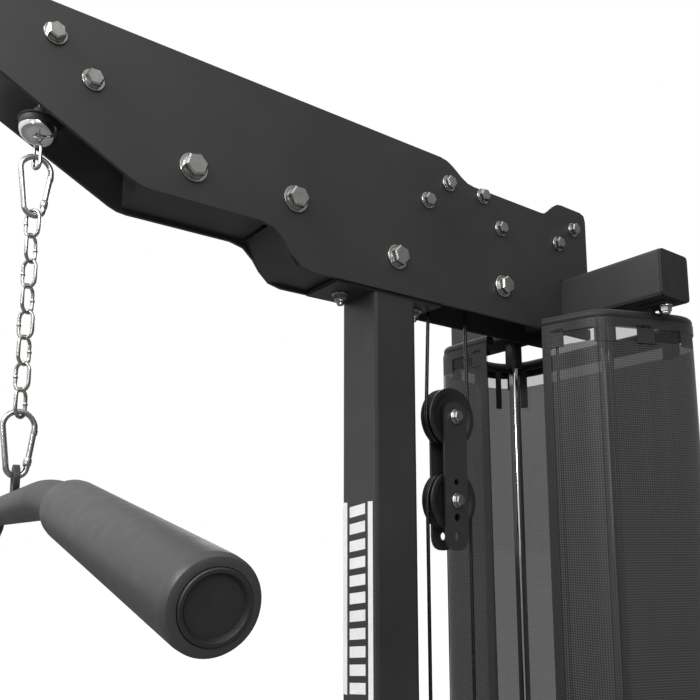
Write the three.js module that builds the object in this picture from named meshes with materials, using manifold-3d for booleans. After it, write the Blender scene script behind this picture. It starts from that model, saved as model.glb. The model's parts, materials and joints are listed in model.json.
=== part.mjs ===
// Single-stack multi station home gym: lat pulldown boom, floating pulley block, guarded weight
// stack, seat, back pad, press arms and leg developer. Millimetres, +Z up, user facing -Y.
import * as THREE from 'three';
import { mergeVertices } from 'three/addons/utils/BufferGeometryUtils.js';
import Module from 'manifold-3d';

const wasm = await Module();
wasm.setup();

// ---------------------------------------------------------------- driving dimensions
const GAP = 0.3;                                   // clearance between touching pieces
const TUBE = 75;                                   // main square tube
const WALL = 2.5;
const HALF = TUBE / 2;
const HEIGHT = 2100;                               // top of the boom plates
const PLATE = 5;                                   // boom plate thickness
const BOOM_HALF = HALF + 0.5 + PLATE;              // outer face of a boom plate
const BOOM_INSIDE = HALF + 0.5;
const BOOM_BOTTOM = 1869;
const BOOM_REAR = 436;
const UPRIGHT_TOP = 1970;                          // the upright ends inside the boom

const BEAM = { y0: BOOM_REAR - TUBE, y1: BOOM_REAR, z0: 1888, z1: 1888 + TUBE, half: 222 };

const GROOVE = 43;                                 // cable centre line on every pulley
const PULLEY_OUTER = 45;
const PULLEY_WIDTH = 22;
const CABLE = 2.75;                                // cable radius
const AXLE = 5;                                    // pulley axle radius
const BORE = 5.4;

const FRONT_PULLEY = [-430, 2025];                 // pulley centres as [y, z]
const SECOND_PULLEY = [59, 2022];
const THIRD_PULLEY = [214, 2017];
const REAR_PULLEY = [355.5, 2026];
const BLOCK_Y = 131.5;
const BLOCK_UPPER = [BLOCK_Y, 1709];
const BLOCK_LOWER = [BLOCK_Y, 1584];
const PRESS_TURN = [45.5, 376];                    // pulley in the upright's slot
const BASE_PULLEY = [BLOCK_Y, 143];
const LOW_PULLEY = [-620, 143];
const PRESS_PULLEY = [-380, 290];

const ROD_X = 100;
const ROD_Y = 398.5;
const ROD = 9.5;

const FOOT_FRONT = -900;                           // front face of the front foot
const SHROUD_REAR = 511;
const SHROUD_SIDE = 230;
const SHROUD_CORNER = { right: [152, 309], left: [178, 284] };   // front corners, as hung
const TAB_X = { right: 178, left: 195 };           // where the hoops are held
const MIDDLE_Y = (FOOT_FRONT + SHROUD_REAR) / 2;

const PRESS_AXIS = [-380, 140];                    // [y, z] of the press arm's pivot
const LEG_AXIS = [-740, 400];                      // [y, z] of the leg developer's pivot

const LAT_Y = FRONT_PULLEY[0] - GROOVE;            // the pulldown cable's drop line
const BAR = { z: 1560, radius: 16, bendX: 235, endX: 535, back: 13, drop: 55, turnDegrees: -5.3 };
const GRIP = { start: 58.4, length: 254 };

const STACK_FLOOR = 123.3;
const WEIGHT = { half: 140, depth: 50, pitch: 28, groove: 2.5 };
const RESTING = 7;
const LIFTED = 5;

// ---------------------------------------------------------------- materials
const paint = () => new THREE.MeshStandardMaterial({ color: 0x333436, roughness: 0.5, metalness: 0.3 });
const zinc = () => new THREE.MeshStandardMaterial({ color: 0xb9b8b2, roughness: 0.3, metalness: 1 });
const chrome = () => new THREE.MeshStandardMaterial({ color: 0xd8dadc, roughness: 0.1, metalness: 1 });
const iron = () => new THREE.MeshStandardMaterial({ color: 0x2a2b2d, roughness: 0.6, metalness: 0.4 });
const plastic = () => new THREE.MeshStandardMaterial({ color: 0x1b1c1e, roughness: 0.45, metalness: 0 });
const rubber = () => new THREE.MeshStandardMaterial({ color: 0x232425, roughness: 0.7, metalness: 0 });
const mesh = () => new THREE.MeshStandardMaterial({ color: 0x3a3a3c, roughness: 0.9, metalness: 0 });
const vinyl = () => new THREE.MeshStandardMaterial({ color: 0x1e1f21, roughness: 0.55, metalness: 0 });

// ---------------------------------------------------------------- geometry helpers
// A merged, outward-facing copy of a closed geometry.
function sealed(source) {
  const bare = source.index ? source.toNonIndexed() : source.clone();
  bare.deleteAttribute('normal');
  bare.deleteAttribute('uv');
  const merged = mergeVertices(bare, 1e-3);
  const kept = [];
  const index = merged.index.array;
  for (let i = 0; i < index.length; i += 3) {
    const [a, b, c] = [index[i], index[i + 1], index[i + 2]];
    if (a !== b && b !== c && c !== a) kept.push(a, b, c);
  }
  merged.setIndex(kept);
  if (volume(merged) < 0) {
    for (let i = 0; i < kept.length; i += 3) [kept[i + 1], kept[i + 2]] = [kept[i + 2], kept[i + 1]];
    merged.setIndex(kept);
  }
  return merged;
}

function volume(geometry) {
  const position = geometry.attributes.position;
  const index = geometry.index.array;
  const corner = (i) => new THREE.Vector3().fromBufferAttribute(position, index[i]);
  let sum = 0;
  for (let i = 0; i < index.length; i += 3) {
    sum += corner(i).dot(corner(i + 1).cross(corner(i + 2)));
  }
  return sum / 6;
}

function toSolid(source) {
  const merged = sealed(source);
  return new wasm.Manifold(new wasm.Mesh({
    numProp: 3,
    vertProperties: new Float32Array(merged.attributes.position.array),
    triVerts: new Uint32Array(merged.index.array),
  }));
}

function toGeometry(solid) {
  const data = solid.getMesh();
  const geometry = new THREE.BufferGeometry();
  geometry.setAttribute('position', new THREE.BufferAttribute(data.vertProperties, 3));
  geometry.setIndex(new THREE.BufferAttribute(data.triVerts, 1));
  return geometry;
}

const join = (...parts) => toGeometry(parts.map(toSolid).reduce((a, b) => a.add(b)));
const cut = (body, ...tools) => toGeometry(tools.map(toSolid).reduce((a, b) => a.subtract(b), toSolid(body)));

function box(x0, x1, y0, y1, z0, z1) {
  const geometry = new THREE.BoxGeometry(x1 - x0, y1 - y0, z1 - z0);
  return geometry.translate((x0 + x1) / 2, (y0 + y1) / 2, (z0 + z1) / 2);
}

// Turns a geometry made along +Y so that it runs from a point along a direction.
function pointed(geometry, from, direction) {
  const turn = new THREE.Quaternion().setFromUnitVectors(new THREE.Vector3(0, 1, 0), direction.clone().normalize());
  return geometry.applyQuaternion(turn).translate(from.x, from.y, from.z);
}

function rod(from, to, radius, sides = 12) {
  const start = new THREE.Vector3(...from);
  const along = new THREE.Vector3(...to).sub(start);
  const length = along.length();
  const geometry = new THREE.CylinderGeometry(radius, radius, length, sides).translate(0, length / 2, 0);
  return pointed(geometry, start, along);
}

const rodX = (x0, x1, [y, z], radius, sides) => rod([x0, y, z], [x1, y, z], radius, sides);

// A lathed profile of [radius, height] pairs, run from a point along a direction.
function turned(profile, from, direction, segments = 24) {
  const points = profile.map(([r, h]) => new THREE.Vector2(r, h));
  return pointed(new THREE.LatheGeometry(points, segments), new THREE.Vector3(...from), new THREE.Vector3(...direction));
}

// A closed outline through [u, v, radius] corners, each rounded by its radius.
function rounded(corners) {
  const shape = new THREE.Shape();
  const count = corners.length;
  corners.forEach(([u, v, radius], i) => {
    const here = new THREE.Vector2(u, v);
    const before = new THREE.Vector2(...corners[(i + count - 1) % count]).sub(here).setLength(radius);
    const after = new THREE.Vector2(...corners[(i + 1) % count]).sub(here).setLength(radius);
    const start = here.clone().add(before);
    const end = here.clone().add(after);
    if (i === 0) shape.moveTo(start.x, start.y);
    else shape.lineTo(start.x, start.y);
    if (radius > 0) shape.quadraticCurveTo(here.x, here.y, end.x, end.y);
  });
  shape.closePath();
  return shape;
}

const rectangle = (u0, u1, v0, v1, r) => rounded([[u0, v0, r], [u1, v0, r], [u1, v1, r], [u0, v1, r]]);

// A shape drawn in (y, z) and extruded along X, in (x, z) along Y, or in (x, y) along Z.
function extruded(shape, length, curveSegments) {
  return new THREE.ExtrudeGeometry(shape, { depth: length, bevelEnabled: false, curveSegments });
}

function alongX(shape, x0, x1, curveSegments = 2) {
  const turn = new THREE.Matrix4().set(0, 0, 1, x0, 1, 0, 0, 0, 0, 1, 0, 0, 0, 0, 0, 1);
  return extruded(shape, x1 - x0, curveSegments).applyMatrix4(turn);
}

function alongY(shape, y0, y1, curveSegments = 2) {
  const turn = new THREE.Matrix4().set(1, 0, 0, 0, 0, 0, -1, y1, 0, 1, 0, 0, 0, 0, 0, 1);
  return extruded(shape, y1 - y0, curveSegments).applyMatrix4(turn);
}

const alongZ = (shape, z0, z1, curveSegments = 2) => extruded(shape, z1 - z0, curveSegments).translate(0, 0, z0);

// A rectangular tube's section, open inside.
function tubeSection(u0, u1, v0, v1, wall = WALL, radius = 6) {
  const shape = rectangle(u0, u1, v0, v1, radius);
  shape.holes.push(rectangle(u0 + wall, u1 - wall, v0 + wall, v1 - wall, radius - wall));
  return shape;
}

// A path taken through its own points, one step each.
class Route extends THREE.Curve {
  constructor(points) {
    super();
    this.points = points.map((p) => new THREE.Vector3(...p));
  }
  getPoint(t) {
    const last = this.points.length - 1;
    const place = Math.min(Math.max(t, 0), 1) * last;
    const i = Math.min(Math.floor(place), last - 1);
    return this.points[i].clone().lerp(this.points[i + 1], place - i);
  }
  getPointAt(t) {
    return this.getPoint(t);
  }
  getTangentAt(t) {
    const last = this.points.length - 1;
    const i = Math.round(t * last);
    const before = this.points[Math.max(i - 1, 0)];
    const after = this.points[Math.min(i + 1, last)];
    const here = this.points[i];
    const into = here.clone().sub(before).normalize();
    return into.add(after.clone().sub(here).normalize()).normalize();
  }
}

function circle(radius, sides) {
  const shape = new THREE.Shape();
  for (let i = 0; i < sides; i += 1) {
    const angle = (2 * Math.PI * i) / sides;
    const [u, v] = [radius * Math.cos(angle), radius * Math.sin(angle)];
    if (i === 0) shape.moveTo(u, v);
    else shape.lineTo(u, v);
  }
  return shape;
}

function swept(points, radius, sides = 8) {
  const path = new Route(points);
  return new THREE.ExtrudeGeometry(circle(radius, sides), { steps: points.length - 1, extrudePath: path });
}

// Points round a pulley in the plane x = 0, from one angle to another, in degrees from +Y towards +Z.
function wrap([y, z], from, to, step = 30) {
  const count = Math.max(2, Math.round(Math.abs(to - from) / step));
  return Array.from({ length: count + 1 }, (_, i) => {
    const angle = THREE.MathUtils.degToRad(from + ((to - from) * i) / count);
    return [0, y + GROOVE * Math.cos(angle), z + GROOVE * Math.sin(angle)];
  });
}

// A bend of given radius between straight runs, as points.
function bent(points, radius, steps = 4) {
  const corners = points.map((p) => new THREE.Vector3(...p));
  const path = [corners[0].toArray()];
  for (let i = 1; i < corners.length - 1; i += 1) {
    const start = corners[i - 1].clone().sub(corners[i]).setLength(radius).add(corners[i]);
    const end = corners[i + 1].clone().sub(corners[i]).setLength(radius).add(corners[i]);
    const arc = new THREE.QuadraticBezierCurve3(start, corners[i], end);
    path.push(...arc.getPoints(steps).map((p) => p.toArray()));
  }
  path.push(corners.at(-1).toArray());
  return path;
}

// ---------------------------------------------------------------- the scene graph
const gym = new THREE.Group();
gym.position.set(0, -MIDDLE_Y, 0);

function add(name, geometry, material, parent = gym) {
  const piece = new THREE.Mesh(sealed(geometry), material);
  piece.name = name;
  parent.add(piece);
  return piece;
}

const SIDES = [['right', 1], ['left', -1]];

// ---------------------------------------------------------------- base
function pulleyEars([y, z], bottom) {
  const ears = SIDES.map(([, s]) => {
    const shape = rounded([[y - 24, bottom, 0], [y + 24, bottom, 0], [y + 14, z + 14, 8], [y - 14, z + 14, 8]]);
    return s > 0 ? alongX(shape, 14, 18) : alongX(shape, -18, -14);
  });
  return [...ears, rodX(-23, 23, [y, z], AXLE, 12)];
}

function addBase() {
  const rail = alongY(tubeSection(-HALF, HALF, 0, TUBE), FOOT_FRONT + TUBE + GAP, BEAM.y0 - GAP);
  const hinge = SIDES.map(([, s]) => {
    const [y, z] = PRESS_AXIS;
    const shape = rounded([[y - 34, TUBE - 1, 0], [y + 34, TUBE - 1, 0], [y + 18, z + 18, 10], [y - 18, z + 18, 10]]);
    return s > 0 ? alongX(shape, 30, 35) : alongX(shape, -35, -30);
  });
  const pin = rodX(-44, 44, PRESS_AXIS, 10, 16);
  add('base_rail', join(rail, ...pulleyEars(BASE_PULLEY, TUBE - 1), ...pulleyEars(LOW_PULLEY, TUBE - 1), ...hinge, pin), paint());

  const footTube = alongX(tubeSection(FOOT_FRONT, FOOT_FRONT + TUBE, 0, TUBE), -330, 330);
  const treads = SIDES.map(([, s]) => {
    const outline = rounded([[FOOT_FRONT + 18, TUBE - 1, 0], [FOOT_FRONT + 30, TUBE - 1, 0],
      [FOOT_FRONT + 82, 236, 3], [FOOT_FRONT + 71, 241, 3]]);
    return s > 0 ? alongX(outline, 212, 320) : alongX(outline, -320, -212);
  });
  add('front_foot', join(footTube, ...treads), paint());
  const rear = alongX(tubeSection(BEAM.y0, BEAM.y1, 0, TUBE), -330, 330);
  add('rear_foot', join(rear, box(-150, 150, BEAM.y0 + 1, BEAM.y1 - 1, TUBE - 1, 83)), paint());
}

// ---------------------------------------------------------------- upright and boom
function addUpright() {
  const post = alongZ(tubeSection(-HALF, HALF, -HALF, HALF, 3), TUBE + GAP, UPRIGHT_TOP);
  const foot = box(-HALF, HALF, -HALF - 22, HALF + 22, TUBE + GAP, TUBE + 7);
  const flange = box(-BOOM_INSIDE + GAP, BOOM_INSIDE - GAP, -100, 88, 1866, 1872);
  const hollow = box(-HALF + 3, HALF - 3, -HALF + 3, HALF - 3, 1800, 1990);
  const tabs = [760, 1120].map((z) => box(-20, 20, -89.7, -HALF + 1, z - 20, z + 20));
  const anchor = box(-6, 6, -HALF - 16, -HALF + 1, PRESS_PULLEY[1] - GROOVE - 9, PRESS_PULLEY[1] - GROOVE + 9);
  const [turnY, turnZ] = PRESS_TURN;
  const ears = SIDES.map(([, s]) => {
    const shape = rounded([[HALF - 1, turnZ - 26, 0], [turnY + 14, turnZ - 14, 6], [turnY + 14, turnZ + 14, 6],
      [HALF - 1, turnZ + 26, 0]]);
    return s > 0 ? alongX(shape, 14, 18) : alongX(shape, -18, -14);
  });
  const pin = rodX(-23, 23, PRESS_TURN, AXLE, 12);
  const slots = [
    box(-13, 13, 0, HALF + 5, turnZ - 50, turnZ + 50),
    box(-9, 9, -HALF - 30, 0, turnZ - GROOVE - 12, turnZ - GROOVE + 12),
    box(-9, 9, -80, 80, BASE_PULLEY[1] - GROOVE - 10, BASE_PULLEY[1] - GROOVE + 10),
  ];
  const body = cut(join(post, foot, cut(flange, hollow), ...tabs), ...slots);
  add('upright', join(body, ...ears, pin, anchor), paint());
}

function boomOutline() {
  const notchIn = BEAM.y0 - GAP;
  return rounded([
    [-530, 2005, 6], [-371, 1919, 12], [-197, 1919, 22], [-162, BOOM_BOTTOM, 22],
    [BOOM_REAR, BOOM_BOTTOM, 5], [BOOM_REAR, BEAM.z0 - GAP, 0], [notchIn, BEAM.z0 - GAP, 0],
    [notchIn, BEAM.z1 + GAP, 0], [BOOM_REAR, BEAM.z1 + GAP, 0], [BOOM_REAR, HEIGHT, 14],
    [359, HEIGHT, 10], [325, 2072, 8], [143, 2072, 14], [101, HEIGHT, 14], [-530, HEIGHT, 6],
  ]);
}

const BOOM_AXLES = [FRONT_PULLEY, SECOND_PULLEY, THIRD_PULLEY, REAR_PULLEY];

// A bent sheet closing the boom from below, drawn as its side view.
function sheet(points, thickness) {
  const shape = new THREE.Shape();
  points.forEach(([y, z], i) => (i === 0 ? shape.moveTo(y, z) : shape.lineTo(y, z)));
  [...points].reverse().forEach(([y, z, side]) => shape.lineTo(y + side * thickness, z + thickness));
  shape.closePath();
  return alongX(shape, -BOOM_INSIDE + GAP, BOOM_INSIDE - GAP);
}

function addBoom() {
  for (const [side, s] of SIDES) {
    const plate = s > 0 ? alongX(boomOutline(), BOOM_INSIDE, BOOM_HALF) : alongX(boomOutline(), -BOOM_HALF, -BOOM_INSIDE);
    const holes = BOOM_AXLES.map((centre) => rodX(-60, 60, centre, AXLE + GAP, 12));
    add(`boom_plate_${side}`, cut(plate, ...holes), paint());
  }
  const front = [[-366, 1985, 1], [-366, 1924, 1], [-204, 1924, 0]];
  const rear = [[-199, 1922, 1], [-165, 1874, 0.5], [-100.5, 1874, 0]];
  add('boom_floor_front', sheet(front, 3), paint());
  add('boom_floor_rear', sheet(rear, 3), paint());
  BOOM_AXLES.forEach((centre, i) => {
    const [y, z] = centre;
    const out = BOOM_HALF + GAP;
    const bolt = join(
      rodX(-out - 9, out + 3, centre, AXLE, 8),
      rodX(out, out + 2, centre, 12, 12),
      rodX(out + 1.5, out + 8, centre, 9.8, 6),
      rodX(-out - 2, -out, centre, 12, 12),
      rodX(-out - 9, -out - 1.5, [y, z], 9.8, 6),
    );
    add(`boom_axle_${i + 1}`, bolt, zinc());
  });
}

function addBeam() {
  const tube = alongX(tubeSection(BEAM.y0, BEAM.y1, BEAM.z0, BEAM.z1), -BEAM.half, BEAM.half);
  const sleeves = SIDES.map(([, s]) => rod([s * ROD_X, ROD_Y, 1841], [s * ROD_X, ROD_Y, BEAM.z0 + 1], 14, 20));
  const bores = SIDES.map(([, s]) => rod([s * ROD_X, ROD_Y, 1800], [s * ROD_X, ROD_Y, 1888], ROD + GAP, 16));
  const cableHole = rod([0, ROD_Y, BEAM.z0 - 10], [0, ROD_Y, BEAM.z1 + 10], 8, 12);
  add('rear_beam', cut(join(tube, ...sleeves), ...bores, cableHole), paint());
  for (const [side, s] of SIDES) {
    const flange = rectangle(BEAM.y0 + 0.5, BEAM.y1 - 0.5, BEAM.z0 + 0.5, BEAM.z1 - 0.5, 6);
    const plug = rectangle(BEAM.y0 + 3, BEAM.y1 - 3, BEAM.z0 + 3, BEAM.z1 - 3, 4);
    const out = BEAM.half + GAP;
    const parts = s > 0
      ? [alongX(flange, out, out + 3), alongX(plug, out - 18, out + 1)]
      : [alongX(flange, -out - 3, -out), alongX(plug, -out - 1, -out + 18)];
    add(`beam_cap_${side}`, join(...parts), plastic());
  }
}

// ---------------------------------------------------------------- pulleys and floating block
function pulleyShape() {
  const h = PULLEY_WIDTH / 2;
  const floor = GROOVE - CABLE - 1.6;
  return [
    [BORE, -h], [PULLEY_OUTER, -h], [PULLEY_OUTER, -h + 3], [floor, -CABLE], [floor, CABLE],
    [PULLEY_OUTER, h - 3], [PULLEY_OUTER, h], [BORE, h], [BORE, -h],
  ];
}

function addPulleys() {
  const pulleys = {
    front_pulley: FRONT_PULLEY, second_pulley: SECOND_PULLEY, third_pulley: THIRD_PULLEY,
    rear_pulley: REAR_PULLEY, block_pulley_upper: BLOCK_UPPER, block_pulley_lower: BLOCK_LOWER,
    upright_pulley: PRESS_TURN, base_pulley: BASE_PULLEY, low_row_pulley: LOW_PULLEY,
    press_pulley: PRESS_PULLEY,
  };
  for (const [name, [y, z]] of Object.entries(pulleys)) {
    add(name, turned(pulleyShape(), [0, y, z], [1, 0, 0], 18), plastic());
  }
}

function addBlock() {
  const [y, low] = BLOCK_LOWER;
  const top = BLOCK_UPPER[1];
  for (const [side, s] of SIDES) {
    const outline = rounded([[y - 22.5, low - 73, 22], [y + 22.5, low - 73, 22],
      [y + 22.5, top + 22, 22], [y - 22.5, top + 22, 22]]);
    const strap = s > 0 ? alongX(outline, 13, 17, 5) : alongX(outline, -17, -13, 5);
    const holes = [[y, low, 5.3], [y, top, 5.3], [y, low + 27, 5], [y, low - 25, 6], [y, low - 52, 6]];
    const drilled = holes.map(([hy, hz, r]) => rodX(-30, 30, [hy, hz], r, 12));
    add(`block_strap_${side}`, cut(strap, ...drilled), paint());
  }
  [['upper', top], ['lower', low]].forEach(([level, z]) => {
    const out = 17 + GAP;
    const bolt = join(
      rodX(-out - 8, out + 3, [y, z], AXLE, 8),
      rodX(out, out + 2, [y, z], 11.5, 12), rodX(out + 1.5, out + 8, [y, z], 9.2, 6),
      rodX(-out - 2, -out, [y, z], 11.5, 12), rodX(-out - 8, -out - 1.5, [y, z], 9.2, 6),
    );
    add(`block_axle_${level}`, bolt, zinc());
  });
}

// ---------------------------------------------------------------- cables
const BALL_TOP = 1996.5;
const STEM_TOP = 556;

function addCables() {
  const lat = [
    [0, LAT_Y, BALL_TOP + GAP], ...wrap(FRONT_PULLEY, 180, 90), ...wrap(SECOND_PULLEY, 90, 0),
    ...wrap(BLOCK_UPPER, -180, 0), ...wrap(THIRD_PULLEY, 180, 90), ...wrap(REAR_PULLEY, 90, 0),
    [0, ROD_Y, STEM_TOP + GAP],
  ];
  add('lat_cable', swept(lat, CABLE), rubber());
  const low = [
    [0, LEG_AXIS[0] + 35.3, 100], ...wrap(LOW_PULLEY, -90, -89), ...wrap(BASE_PULLEY, -90, 0),
    ...wrap(BLOCK_LOWER, 0, 180), ...wrap(PRESS_TURN, 0, -90), ...wrap(PRESS_PULLEY, 90, 270),
    [0, -HALF - 16 - GAP, PRESS_PULLEY[1] - GROOVE],
  ];
  add('low_cable', swept(low, CABLE), rubber());
}

// ---------------------------------------------------------------- pulldown handle
const HOOK = { top: 15.5, bottom: 10, straight: 20.75, wire: 3 };
const HOOK_HALF = (HOOK.top + HOOK.bottom) / 2 + HOOK.straight + HOOK.wire;
const HOOK_UPPER_Z = 1906.5;
const HOOK_LOWER_Z = 1625.6;
const LINK = { half: 10, wire: 2 };
const EYE = { half: 13, top: 43.7, hole: 28.5, radius: 7.5 };   // over the bar's centre line

// A closed ring in the plane of X = 0, rounder at its top end than at its bottom end.
function snapHook(z) {
  const ring = new THREE.TorusGeometry(HOOK.top, HOOK.wire, 8, 20);
  const position = ring.attributes.position;
  const middle = (HOOK.top - HOOK.bottom) / 2;
  for (let i = 0; i < position.count; i += 1) {
    const [x, y] = [position.getX(i), position.getY(i)];
    const upper = x > -0.01;
    const scale = upper ? 1 : 1 + (HOOK.bottom - HOOK.top) / Math.hypot(x, y);
    position.setX(i, x * scale + (upper ? HOOK.straight : -HOOK.straight) - middle);
    position.setY(i, y * scale);
  }
  return ring.rotateY(-Math.PI / 2).translate(0, LAT_Y, z);
}

const BALL_PROFILE = [
  [0, 0], [5, 0], [6.5, -2], [16, -8], [21, -14], [21, -23], [19.5, -23.5], [18, -32], [12, -38],
  [4.5, -40], [4.5, -47], [0, -47],
];

function addHandle() {
  add('ball_stop', turned(BALL_PROFILE, [0, LAT_Y, BALL_TOP], [0, 0, 1], 16), rubber());
  add('snap_hook_upper', snapHook(HOOK_UPPER_Z), zinc());
  add('snap_hook_lower', snapHook(HOOK_LOWER_Z), zinc());
  const chainTop = HOOK_UPPER_Z - HOOK_HALF - GAP;
  const chainBottom = HOOK_LOWER_Z + HOOK_HALF + GAP;
  const cross = join(
    box(-LINK.half, LINK.half, LAT_Y - LINK.wire, LAT_Y + LINK.wire, chainBottom, chainTop),
    box(-LINK.wire, LINK.wire, LAT_Y - LINK.half, LAT_Y + LINK.half, chainBottom, chainTop),
  );
  add('chain', cross, zinc());

  const bar = new THREE.Group();
  bar.position.set(0, LAT_Y, BAR.z);
  bar.rotation.z = THREE.MathUtils.degToRad(BAR.turnDegrees);
  gym.add(bar);
  const end = (s) => [s * BAR.endX, BAR.back, -BAR.drop];
  const bend = (s) => [s * BAR.bendX, 0, 0];
  const tube = swept(bent([end(-1), bend(-1), bend(1), end(1)], 60, 5), BAR.radius, 12);
  const outline = [
    [-EYE.half, 10, 0], [EYE.half, 10, 0], [EYE.half, EYE.top, EYE.half - 1], [-EYE.half, EYE.top, EYE.half - 1],
  ];
  const tab = alongY(rounded(outline), -3, 3);
  const eye = cut(tab, rod([0, -9, EYE.hole], [0, 9, EYE.hole], EYE.radius, 14));
  add('lat_bar', join(tube, eye), paint(), bar);
  for (const [side, s] of SIDES) {
    const start = new THREE.Vector3(...bend(s));
    const along = new THREE.Vector3(...end(s)).sub(start).normalize();
    start.addScaledVector(along, GRIP.start);
    const length = GRIP.length;
    const profile = [
      [16.4, 0], [17.5, 0], [20, 4], [21.3, 12], [21.5, length - 6], [20.5, length], [14, length],
      [14, length - 2.5], [0, length - 2.5], [0, length - 5.5], [16.4, length - 5.5], [16.4, 0],
    ];
    add(`bar_grip_${side}`, turned(profile, start.toArray(), along.toArray(), 20), rubber(), bar);
  }
}

// ---------------------------------------------------------------- weight stack
function plates(count, bottom) {
  const { half, depth, pitch, groove } = WEIGHT;
  const parts = [box(-half + 9, half - 9, ROD_Y - depth + 7, ROD_Y + depth - 7, bottom + 1, bottom + count * pitch - 1)];
  for (let i = 0; i < count; i += 1) {
    const z = bottom + i * pitch;
    parts.push(alongZ(rectangle(-half, half, ROD_Y - depth, ROD_Y + depth, 8), z, z + pitch - groove, 1));
  }
  const holes = SIDES.map(([, s]) => rod([s * ROD_X, ROD_Y, bottom - 5], [s * ROD_X, ROD_Y, bottom + count * pitch + 5], 11, 16));
  holes.push(rod([0, ROD_Y, bottom - 5], [0, ROD_Y, bottom + count * pitch + 5], 11.5, 16));
  return [join(...parts), holes];
}

function addStack() {
  for (const [side, s] of SIDES) {
    add(`guide_rod_${side}`, rod([s * ROD_X, ROD_Y, 83 + GAP], [s * ROD_X, ROD_Y, BEAM.z0 - GAP - 1], ROD, 16), chrome());
    const ring = [[ROD + GAP, 0], [24, 0], [24, 34], [21, 39.4], [ROD + GAP, 39.4], [ROD + GAP, 0]];
    add(`bumper_${side}`, turned(ring, [s * ROD_X, ROD_Y, 83 + GAP], [0, 0, 1], 16), rubber());
  }
  const [restingBody, restingHoles] = plates(RESTING, STACK_FLOOR);
  add('resting_plates', cut(restingBody, ...restingHoles), iron());
  const lifted = STACK_FLOOR + RESTING * WEIGHT.pitch;
  const [liftedBody, liftedHoles] = plates(LIFTED, lifted);
  const pinZ = lifted + (WEIGHT.pitch - WEIGHT.groove) / 2;
  const pinHole = rod([0, ROD_Y - 60, pinZ], [0, ROD_Y - 3, pinZ], 5.3, 12);
  add('lifted_plates', cut(liftedBody, ...liftedHoles, pinHole), iron());

  const headZ = lifted + LIFTED * WEIGHT.pitch;
  const head = alongZ(rectangle(-WEIGHT.half, WEIGHT.half, ROD_Y - WEIGHT.depth, ROD_Y + WEIGHT.depth, 8), headZ, headZ + 30);
  const guides = SIDES.map(([, s]) => rod([s * ROD_X, ROD_Y, headZ - 5], [s * ROD_X, ROD_Y, headZ + 35], 11, 16));
  const stem = rod([0, ROD_Y, STACK_FLOOR + 20], [0, ROD_Y, STEM_TOP], 9, 16);
  const collar = rod([0, ROD_Y, headZ + 29], [0, ROD_Y, headZ + 44], 16, 6);
  const stemHole = rod([0, ROD_Y - 20, pinZ], [0, ROD_Y + 20, pinZ], 5.3, 12);
  add('head_plate', cut(join(cut(head, ...guides), stem, collar), stemHole), iron());

  const pin = join(
    rod([0, ROD_Y - WEIGHT.depth - 14, pinZ], [0, ROD_Y + 8, pinZ], 4.6, 12),
    turned([[0, 0], [13, 0], [15, 4], [15, 18], [9, 24], [0, 24]], [0, ROD_Y - WEIGHT.depth - 32, pinZ], [0, 1, 0], 16),
  );
  add('selector_pin', pin, zinc());
}

// ---------------------------------------------------------------- stack shroud
const SHROUD_BOTTOM = 118;
const SHROUD_TOP = 1861;
const RIM_Z = 1870;

// Half of the shroud's plan, from the front opening round to the middle of the rear.
// One side's half of the plan, from its front edge to the middle of the rear.
function halfPlan(cornerX, cornerY) {
  const waist = [(cornerX + SHROUD_SIDE) / 2, (cornerY + SHROUD_REAR) / 2, 0];
  const front = bent([[60, 285, 0], [cornerX, cornerY, 0], waist], 26, 4);
  const rear = bent([waist, [SHROUD_SIDE, SHROUD_REAR, 0], [0, SHROUD_REAR, 0]], 95, 6);
  return [...front, ...rear.slice(1)].map(([x, y]) => new THREE.Vector2(x, y));
}

function fullPlan() {
  const left = halfPlan(...SHROUD_CORNER.left).slice(0, -1).reverse().map((p) => new THREE.Vector2(-p.x, p.y));
  return [...halfPlan(...SHROUD_CORNER.right), ...left];
}

// The plan moved inwards by a distance, corner by corner.
function inset(points, distance) {
  return points.map((p, i) => {
    const before = points[Math.max(i - 1, 0)];
    const after = points[Math.min(i + 1, points.length - 1)];
    const into = p.clone().sub(before).normalize();
    const out = after.clone().sub(p).normalize();
    const along = into.clone().add(out).normalize();
    const half = Math.max(along.dot(i === 0 ? out : into), 0.5);
    return new THREE.Vector2(-along.y, along.x).multiplyScalar(distance / half).add(p);
  });
}

function addShroud() {
  const outer = fullPlan();
  const wall = new THREE.Shape([...outer, ...inset(outer, 2.5).reverse()]);
  add('shroud', alongZ(wall, SHROUD_BOTTOM, SHROUD_TOP), mesh());
  const line = inset(outer, 9);
  const levels = { shroud_hoop_top: RIM_Z, shroud_hoop_bottom: SHROUD_BOTTOM - 9 };
  for (const [name, z] of Object.entries(levels)) {
    const hoop = swept(line.map((p) => [p.x, p.y, z]), 7.5, 6);
    const [from, to] = z === RIM_Z ? [z, BEAM.z0 - GAP] : [75.3, z];
    const tabs = SIDES.map(([side, s]) => {
      const x = s * TAB_X[side];
      const post = box(x - 7, x + 7, 392, 406, from, to);
      return z === RIM_Z ? join(post, box(s * 194 - 22, s * 194 + 22, 384, 414, to - 4, to)) : post;
    });
    add(name, join(hoop, ...tabs), paint());
  }
}

// ---------------------------------------------------------------- seat, back and leg developer
const SEAT_TOP = 430;
const POST = [-560, -500];

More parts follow.
